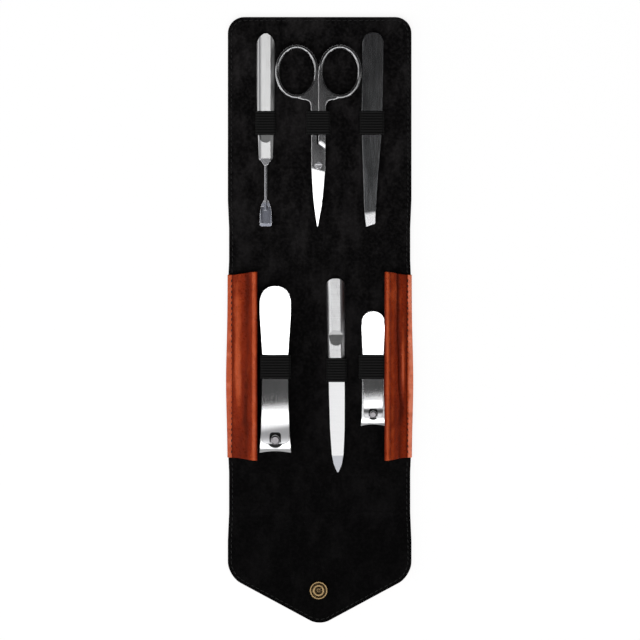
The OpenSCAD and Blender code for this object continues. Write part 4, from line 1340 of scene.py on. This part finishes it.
@dataclass
class ElasticLoop:
    """A ribbed elastic band over a tool, sewn into the lining at both ends."""

    name: str
    body: str
    joint: str
    material: bpy.types.Material
    ribs: int = 9
    band_t: float = 0.45
    rib_h: float = 0.16
    press: float = 0.0
    relaxed: float = 0.4
    corner: float = 1.0
    across: int = 44
    per_rib: int = 6
    lean: float = 0.35
    end_dip: float = 0.12

    def path(self) -> tuple[np.ndarray, np.ndarray, float, float]:
        """The band's outer line over the tool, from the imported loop's box.

        Returns:
            The line's points as X and Z, its outward normals, and the middle and half length along Y.
        """
        low, high = millimetres(self.name)
        centre, half_base = (low.x + high.x) / 2, (high.x - low.x) / 2
        rise = high.z - self.press
        r = min(self.corner, (rise - low.z) * 0.45)
        half_top = half_base - self.lean
        line = [(-half_base, low.z - 0.25), (-half_base, low.z + 0.15)]
        for i in range(9):
            a = math.pi - i * math.pi / 16
            line.append((-half_top + r + r * math.cos(a), rise - r + r * math.sin(a)))
        line += [(x * (half_top - r) / 3, rise + 0.05 * (1 - (x / 3) ** 2)) for x in range(-2, 3)]
        line += [(-x, z) for x, z in reversed(line[:11])]
        points = np.array(line)
        run = np.r_[0, np.cumsum(np.linalg.norm(np.diff(points, axis=0), axis=1))]
        t = np.linspace(0, run[-1], self.across + 1)
        x, z = np.interp(t, run, points[:, 0]), np.interp(t, run, points[:, 1])
        way = np.gradient(np.c_[x, z], axis=0)
        way /= np.linalg.norm(way, axis=1)[:, None]
        return np.c_[x + centre, z], np.c_[-way[:, 1], way[:, 0]], (low.y + high.y) / 2, (high.y - low.y) / 2

    def make(self) -> None:
        """Makes the band, ribbed across its width, and joins it to its panel's body."""
        line, out, middle, half = self.path()
        rows_along = self.ribs * self.per_rib
        band = Bench.grid(f"{self.name}_elastic", (0, -1, 0), (1, 1, 0), self.across, rows_along)
        rows = Bench.places(band)
        index = np.rint(rows[:, 0] * self.across).astype(int)
        v = rows[:, 1].copy()
        rib = 0.5 + 0.5 * np.cos((v + 1) / 2 * self.ribs * 2 * math.pi + math.pi)
        ease = step(1 - np.abs(v), 0.0, 0.06)
        height = (rib**0.6 - 1) * self.rib_h - (1 - ease) * self.end_dip
        rows[:, 0] = line[index, 0] + out[index, 0] * height
        rows[:, 1] = middle + v * half
        rows[:, 2] = line[index, 1] + out[index, 1] * height
        Bench.set_places(band, rows)
        Bench.mark(band, "rib", rib)
        Bench.modify(band, "SOLIDIFY", thickness=self.band_t, offset=-1.0)
        Bench.outward(band)
        Bench.finish(band, self.material, "elastic", smooth=70)
        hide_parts(self.name)
        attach(band, self.body)
        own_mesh(band)
        suede = "front_suede" if self.body == "front_panel" else "back_upper_suede"


@dataclass
class SnapSpring:
    """The rolled end of the snap's post, seen in the middle of the socket."""

    material: bpy.types.Material
    ring_r: float = 0.72
    wire_r: float = 0.26

    def make(self) -> None:
        """Makes the rolled ring, with the slit that its curling leaves."""
        low, high = millimetres("snap_socket")
        x, y = (low.x + high.x) / 2, (low.y + high.y) / 2
        Bench.clear()
        place = (x, y, low.z - 0.06)
        bpy.ops.mesh.primitive_torus_add(
            location=place,
            major_radius=self.ring_r,
            minor_radius=self.wire_r,
            major_segments=28,
            minor_segments=10,
        )
        ring = Bench.take("snap_rolled_end")
        with Bench.edit(ring):
            for side in (-1, 1):
                Bench.pick(ring, "VERT", lambda p: abs(p.y - y) < 0.12 and side * (p.x - x) > 0)
                bpy.ops.transform.translate(value=(0, 0, -0.12))
        Bench.outward(ring)
        Bench.finish(ring, self.material, "antique_brass", smooth=60)
        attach(ring, "closing_flap")


# ---------- steel tools and snap ----------


@dataclass
class Hardware:
    """Finishes for the steel tools, the snap and the boards, which keep their CAD shapes."""

    ring_share: float = 0.95

    def pusher(self) -> SteelFinish:
        """The pusher's steel: its left flank, stem and blade painted darker as painted shade, and its edges
        painted lighter as painted highlight.
        """
        # Painted shade: the flank, stem and blade zones are darker where the steel reflects dark
        # surroundings.
        flank = SteelZone(0.0, (0.07, 0.07, 0.075), 0.3, slope=1e3, from_x=-28.7, blur=1200)
        stem = SteelZone(79.2, (0.20, 0.20, 0.21), 0.12)
        blade = SteelZone(57.5, (0.13, 0.135, 0.16), 0.3, blur=1.5)
        return SteelFinish(
            "pusher_steel",
            (0.54, 0.54, 0.54),
            0.33,
            lines=0.3,
            zones=(flank, stem, blade),
            rim=EDGE_PAINTED_HIGHLIGHT,
            rim_width=0.28,
        )

    def file(self) -> SteelFinish:
        """The file's steel, with its two grades of grit. The fine grit is painted near white, partly the
        grit's own colour and partly painted light.
        """
        # The fine grit's near-white colour is partly its own and partly painted light.
        fine = SteelZone(-27.0, (0.97, 0.97, 0.98), 0.8, grit=0.18, above_y=-66.6, metallic=0.0)
        tip = SteelZone(-66.6, (0.55, 0.56, 0.60), 0.6, grit=0.1, metallic=0.15)
        return SteelFinish("file_steel", (0.42, 0.42, 0.425), 0.30, Brush.ACROSS, 0.6, zones=(fine, tip))

    def scissors(self) -> tuple[SteelFinish, SteelFinish]:
        """The scissors' steel, and that of the half whose shank has a bevelled ramp. The steel is dark as
        painted shade, with the blades, the ramp and the edges painted lighter as painted highlight.
        """
        # Painted highlight: the blades and the shank's ramp are lighter than the painted-dark steel around
        # them.
        blades = SteelZone(73.1, MIRROR_PAINTED_HIGHLIGHT, 0.25, slope=0.28, blur=1.6)
        plain = SteelFinish(
            "scissors_steel",
            (0.23, 0.23, 0.235),
            0.10,
            lines=0.2,
            soft_edge=0.6,
            zones=(blades,),
            rim=EDGE_PAINTED_HIGHLIGHT,
            rim_width=0.5,
        )
        ramp = SteelZone(86.5, SATIN, 0.3, slope=0.72, from_x=0.85, blur=0.4, above_y=84.4)
        return plain, replace(plain, name="scissors_ramp_steel", zones=(blades, ramp))

    def tweezers(self) -> SteelFinish:
        """The tweezers' steel, ground clear at the tips. Its body is painted dark as painted shade, and its
        tips and edges are lighter, partly as painted highlight.
        """
        return SteelFinish(
            "tweezers_steel",
            (0.19, 0.193, 0.20),
            0.12,
            lines=0.6,
            soft_edge=0.25,
            # Painted shade on the body. The ground tips are lighter, partly as painted highlight, and the rim
            # paints a faint highlight on the edges.
            zones=(SteelZone(52.6, SATIN, 0.22, slope=-0.15, from_x=26, blur=2.4),),
            rim=(0.30, 0.30, 0.31),
            rim_width=0.6,
        )

    def clippers(self) -> dict[str, bpy.types.Material]:
        """Makes the clippers' finishes.

        Returns:
            The material for each of their CAD nodes.
        """
        # The clippers' light base colour is painted highlight on mirror polish, and their dark rim is a
        # painted dark outline standing in for shade.
        clipper = SteelFinish(
            "clipper_steel",
            MIRROR_PAINTED_HIGHLIGHT,
            0.17,
            lines=0.3,
            soft_edge=0.3,
            zones=(SteelZone(-39.5, MIRROR_PAINTED_HIGHLIGHT, 0.27, slope=-0.115, blur=7),),
            rim=(0.05, 0.05, 0.055),
            rim_width=0.5,
        )
        # Painted reflection: a darker band across the lever's head, where its steel reflects dark
        # surroundings.
        painted_dark_reflection = SteelZone(-48.6, (0.40, 0.40, 0.41), 0.26, slope=-0.192, blur=3.5)
        lever = replace(clipper, name="lever_steel", zones=(*clipper.zones, painted_dark_reflection)).make()
        # Pin and rivet: painted dark as painted shade, with a black rim as a painted dark outline.
        black = (0.02, 0.02, 0.02)
        pin = SteelFinish("pin_steel", (0.24, 0.23, 0.24), 0.35, Brush.NONE, 0.6, rim=black, rim_width=0.5)
        polished_and_painted_highlight, dull_and_painted_shade = clipper.make(), pin.make()
        made = {}
        for tool in ("large_clipper", "small_clipper"):
            made |= {f"{tool}_lower_arm": polished_and_painted_highlight, f"{tool}_lever": lever}
            made |= {f"{tool}_pin": dull_and_painted_shade, f"{tool}_rivet": dull_and_painted_shade}
            made[f"{tool}_upper_arm"] = self.pivoted(tool, clipper).make()
        return made

    def finishes(self) -> dict[str, bpy.types.Material]:
        """Makes each finish.

        Returns:
            The material for each CAD node that stays.
        """
        # The screw's steel is painted dark as painted shade, with its edges painted lighter as painted
        # highlight.
        screw = SteelFinish(
            "screw_steel", (0.22, 0.22, 0.23), 0.25, Brush.NONE, 0.3, soft_edge=0.2, rim=EDGE_PAINTED_HIGHLIGHT
        )
        plain, ramped = self.scissors()
        made = {"cuticle_pusher": self.pusher().make(), "nail_file": self.file().make()}
        made |= {"scissors_screw": screw.make(), "scissors_moving_blade": plain.make()}
        made["scissors_fixed_blade"] = ramped.make()
        tweezers = ("tweezers_lower_arm", "tweezers_upper_arm", "tweezers_weld")
        made |= dict.fromkeys(tweezers, self.tweezers().make())
        made |= self.clippers()
        snap = ("snap_cap", "snap_socket", "snap_stud", "snap_post")
        made |= dict.fromkeys(snap, BrassFinish().make())
        made |= dict.fromkeys(("back_board", "front_board", "flap_board"), BoardFinish().make())
        return made

    def pivoted(self, tool: str, steel: SteelFinish) -> SteelFinish:
        """A clipper's steel with a near-black disc painted round the pivot on its upper arm, as painted
        shadow in the lever's opening.

        Args:
            tool: the clipper's name.
            steel: its finish elsewhere.

        Returns:
            The finish for the upper arm.
        """
        low, high = millimetres(f"{tool}_pin")
        disc = ((low.x + high.x) / 2, (low.y + high.y) / 2 + 0.4, (high.x - low.x) * self.ring_share)
        # Painted shadow: the near-black disc round the pin stands for the shade inside the lever's opening.
        wear_and_painted_shading = SteelZone(0, (0.012, 0.012, 0.012), 0.4, blur=0.5, disc=disc)
        return replace(steel, name=f"{tool}_arm_steel", zones=(*steel.zones, wear_and_painted_shading))

    def dress(self) -> None:
        """Gives every CAD node that stays its finish."""
        for node, material in self.finishes().items():
            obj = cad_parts[node]
            if not obj.data.materials:
                obj.data.materials.append(material)
            for place in obj.material_slots:
                place.link = "OBJECT"
                place.material = material
            log.info("finish %s on %s", material.name, node)


# ---------- studio ----------


@dataclass
class Studio:
    """A white floor, one large soft lamp from below the picture, weak fill, and a camera straight above."""

    view_w: float = 0.3136
    distance: float = 3.5
    centre_x: float = 0.00017
    sensor: float = 36.0
    lamp_distance: float = 4.0
    world_grey: float = 0.045
    horizon: float = 0.5
    glow: float = 1.03
    stage_r: float = 6.0
    backdrop_h: float = 2.2
    floor_white: float = 0.86
    camera_rise: float = 0.0037
    under_case: float = 0.0002

    def floor(self) -> None:
        """The floor: white to the camera and to glossy surfaces, with the object's soft shadow."""
        Bench.clear()
        place = (0, 0, -self.under_case)
        bpy.ops.mesh.primitive_circle_add(vertices=96, radius=self.stage_r, fill_type="NGON", location=place)
        disc = bpy.context.object
        disc.name = "floor"
        s = Surface("pale_floor")
        seen = s.ray("Camera").most(s.ray("Glossy")).most(s.ray("Transmission")) * 0.86
        matt = s.add("ShaderNodeBsdfDiffuse", {}, {"Color": (*(self.floor_white,) * 3, 1)})
        glow = s.add("ShaderNodeEmission", {}, {"Color": WHITE, "Strength": self.glow})
        blend = s.add("ShaderNodeMixShader", {}, {0: seen, 1: matt.outputs[0], 2: glow.outputs[0]})
        s.add("ShaderNodeOutputMaterial", {}, {0: blend.outputs[0]})
        disc.data.materials.append(s.material)

    def backdrop(self) -> None:
        """A low round wall far off: white to the camera, and a pale horizon in the steel."""
        Bench.clear()
        height = self.backdrop_h
        bpy.ops.mesh.primitive_cylinder_add(
            vertices=96,
            radius=self.stage_r,
            depth=height,
            end_fill_type="NOTHING",
            location=(0, 0, height / 2),
        )
        wall = bpy.context.object
        wall.name = "backdrop"
        s = Surface("pale_backdrop")
        seen = s.ray("Camera").most(s.ray("Transmission"))
        strength = (seen * self.glow).most(s.ray("Glossy") * self.horizon)
        glow = s.add("ShaderNodeEmission", {}, {"Color": WHITE, "Strength": strength})
        s.add("ShaderNodeOutputMaterial", {}, {0: glow.outputs[0]})
        wall.data.materials.append(s.material)

    def lamp(self, name: str, tilt: float, turn: float, size: tuple[float, float], radiance: float) -> None:
        """An area lamp that faces the case.

        Args:
            name: the lamp's name.
            tilt: its angle from straight above, in degrees.
            turn: which way it stands, in degrees from -Y towards +X.
            size: its width and height in degrees, seen from the case.
            radiance: its brightness.
        """
        wide, high = (2 * self.lamp_distance * math.tan(math.radians(a / 2)) for a in size)
        data = bpy.data.lights.new(name, "AREA")
        data.shape, data.size, data.size_y = "RECTANGLE", wide, high
        data.energy = radiance * math.pi * wide * high
        lamp = bpy.data.objects.new(name, data)
        bpy.context.scene.collection.objects.link(lamp)
        out, around = math.radians(tilt), math.radians(turn)
        way = Vector((math.sin(out) * math.sin(around), -math.sin(out) * math.cos(around), math.cos(out)))
        lamp.location = way * self.lamp_distance
        lamp.rotation_euler = (-way).to_track_quat("-Z", "Y").to_euler()

    def make(self) -> None:
        """Sets the floor, lamps, world, camera and colour management."""
        self.floor()
        self.backdrop()
        self.lamp("key", 22.5, 0, (64, 46.8), 3.3)
        self.lamp("fill_left", 64, -80, (44, 40), 2.2)
        self.lamp("fill_right", 62, 75, (30, 40), 0.3)
        world = bpy.data.worlds.new("studio")
        world.use_nodes = True
        backdrop = world.node_tree.nodes["Background"]
        backdrop.inputs["Color"].default_value = (self.world_grey,) * 3 + (1,)
        bpy.context.scene.world = world
        data = bpy.data.cameras.new("camera")
        data.sensor_width = self.sensor
        data.lens = self.sensor * self.distance / self.view_w
        data.clip_start, data.clip_end = 0.1, 20
        camera = bpy.data.objects.new("camera", data)
        bpy.context.scene.collection.objects.link(camera)
        camera.location = (self.centre_x, 0, self.distance + self.camera_rise)
        bpy.context.scene.camera = camera
        bpy.context.scene.view_settings.view_transform = "Standard"


def main() -> None:
    """Builds the case's pieces in order."""
    logging.basicConfig(level=logging.INFO, format="%(name)s: %(message)s")
    Studio().make()
    shape = CaseShape()
    suede, thread, elastic = SuedeFinish().make(), ThreadFinish().make(), ElasticFinish().make()
    outer = LeatherFinish("outer_cowhide", bare_from_x=2.0, bare_below_y=-118.0).make()
    side_leather = LeatherFinish(
        "gusset_cowhide",
        body=(0.20, 0.018, 0.0030),
        dark=(0.14, 0.012, 0.0022),
        light=(0.46, 0.072, 0.017),
        edge_paint=0.0,
        gloss=0.36,
        shine=0.04,
        pebble=1.5,
        grain=0.42,
    ).make()
    sheets = SheetSet(shape, suede, outer, thread)
    for face in Face:
        sheets.lengths(face)
    seam_low, seam_high = millimetres("gusset_seam_left")
    sheets.sew(Face.INSIDE, lambda p: abs(p.x) > 40 and seam_low.y - 1 < p.y < seam_high.y + 1)
    sheets.sew(Face.OUTSIDE, lambda p: False)
    Gusset(Side.LEFT, shape, side_leather, thread, lean=28.0).make()
    Gusset(Side.RIGHT, shape, side_leather, thread, lean=38.0).make()
    # The loop over the pusher lies flat and thin, so that the opening scissors' ring clears it.
    flat = {"band_t": 0.15, "rib_h": 0.07, "press": 0.66}
    ElasticLoop("pusher_loop", "front_panel", "pusher_slide", elastic, **flat).make()
    for tool, body in (
        ("tweezers", "front_panel"),
        ("scissors", "front_panel"),
        ("large_clipper", "back_panel"),
        ("file", "back_panel"),
        ("small_clipper", "back_panel"),
    ):
        ElasticLoop(f"{tool}_loop", body, f"{tool}_slide", elastic).make()
    Hardware().dress()
    SnapSpring(BrassFinish("bright_brass", rim_low=3.4, rim_high=3.9).make()).make()
    log.info("sizes written")


if __name__ == "__main__":
    main()
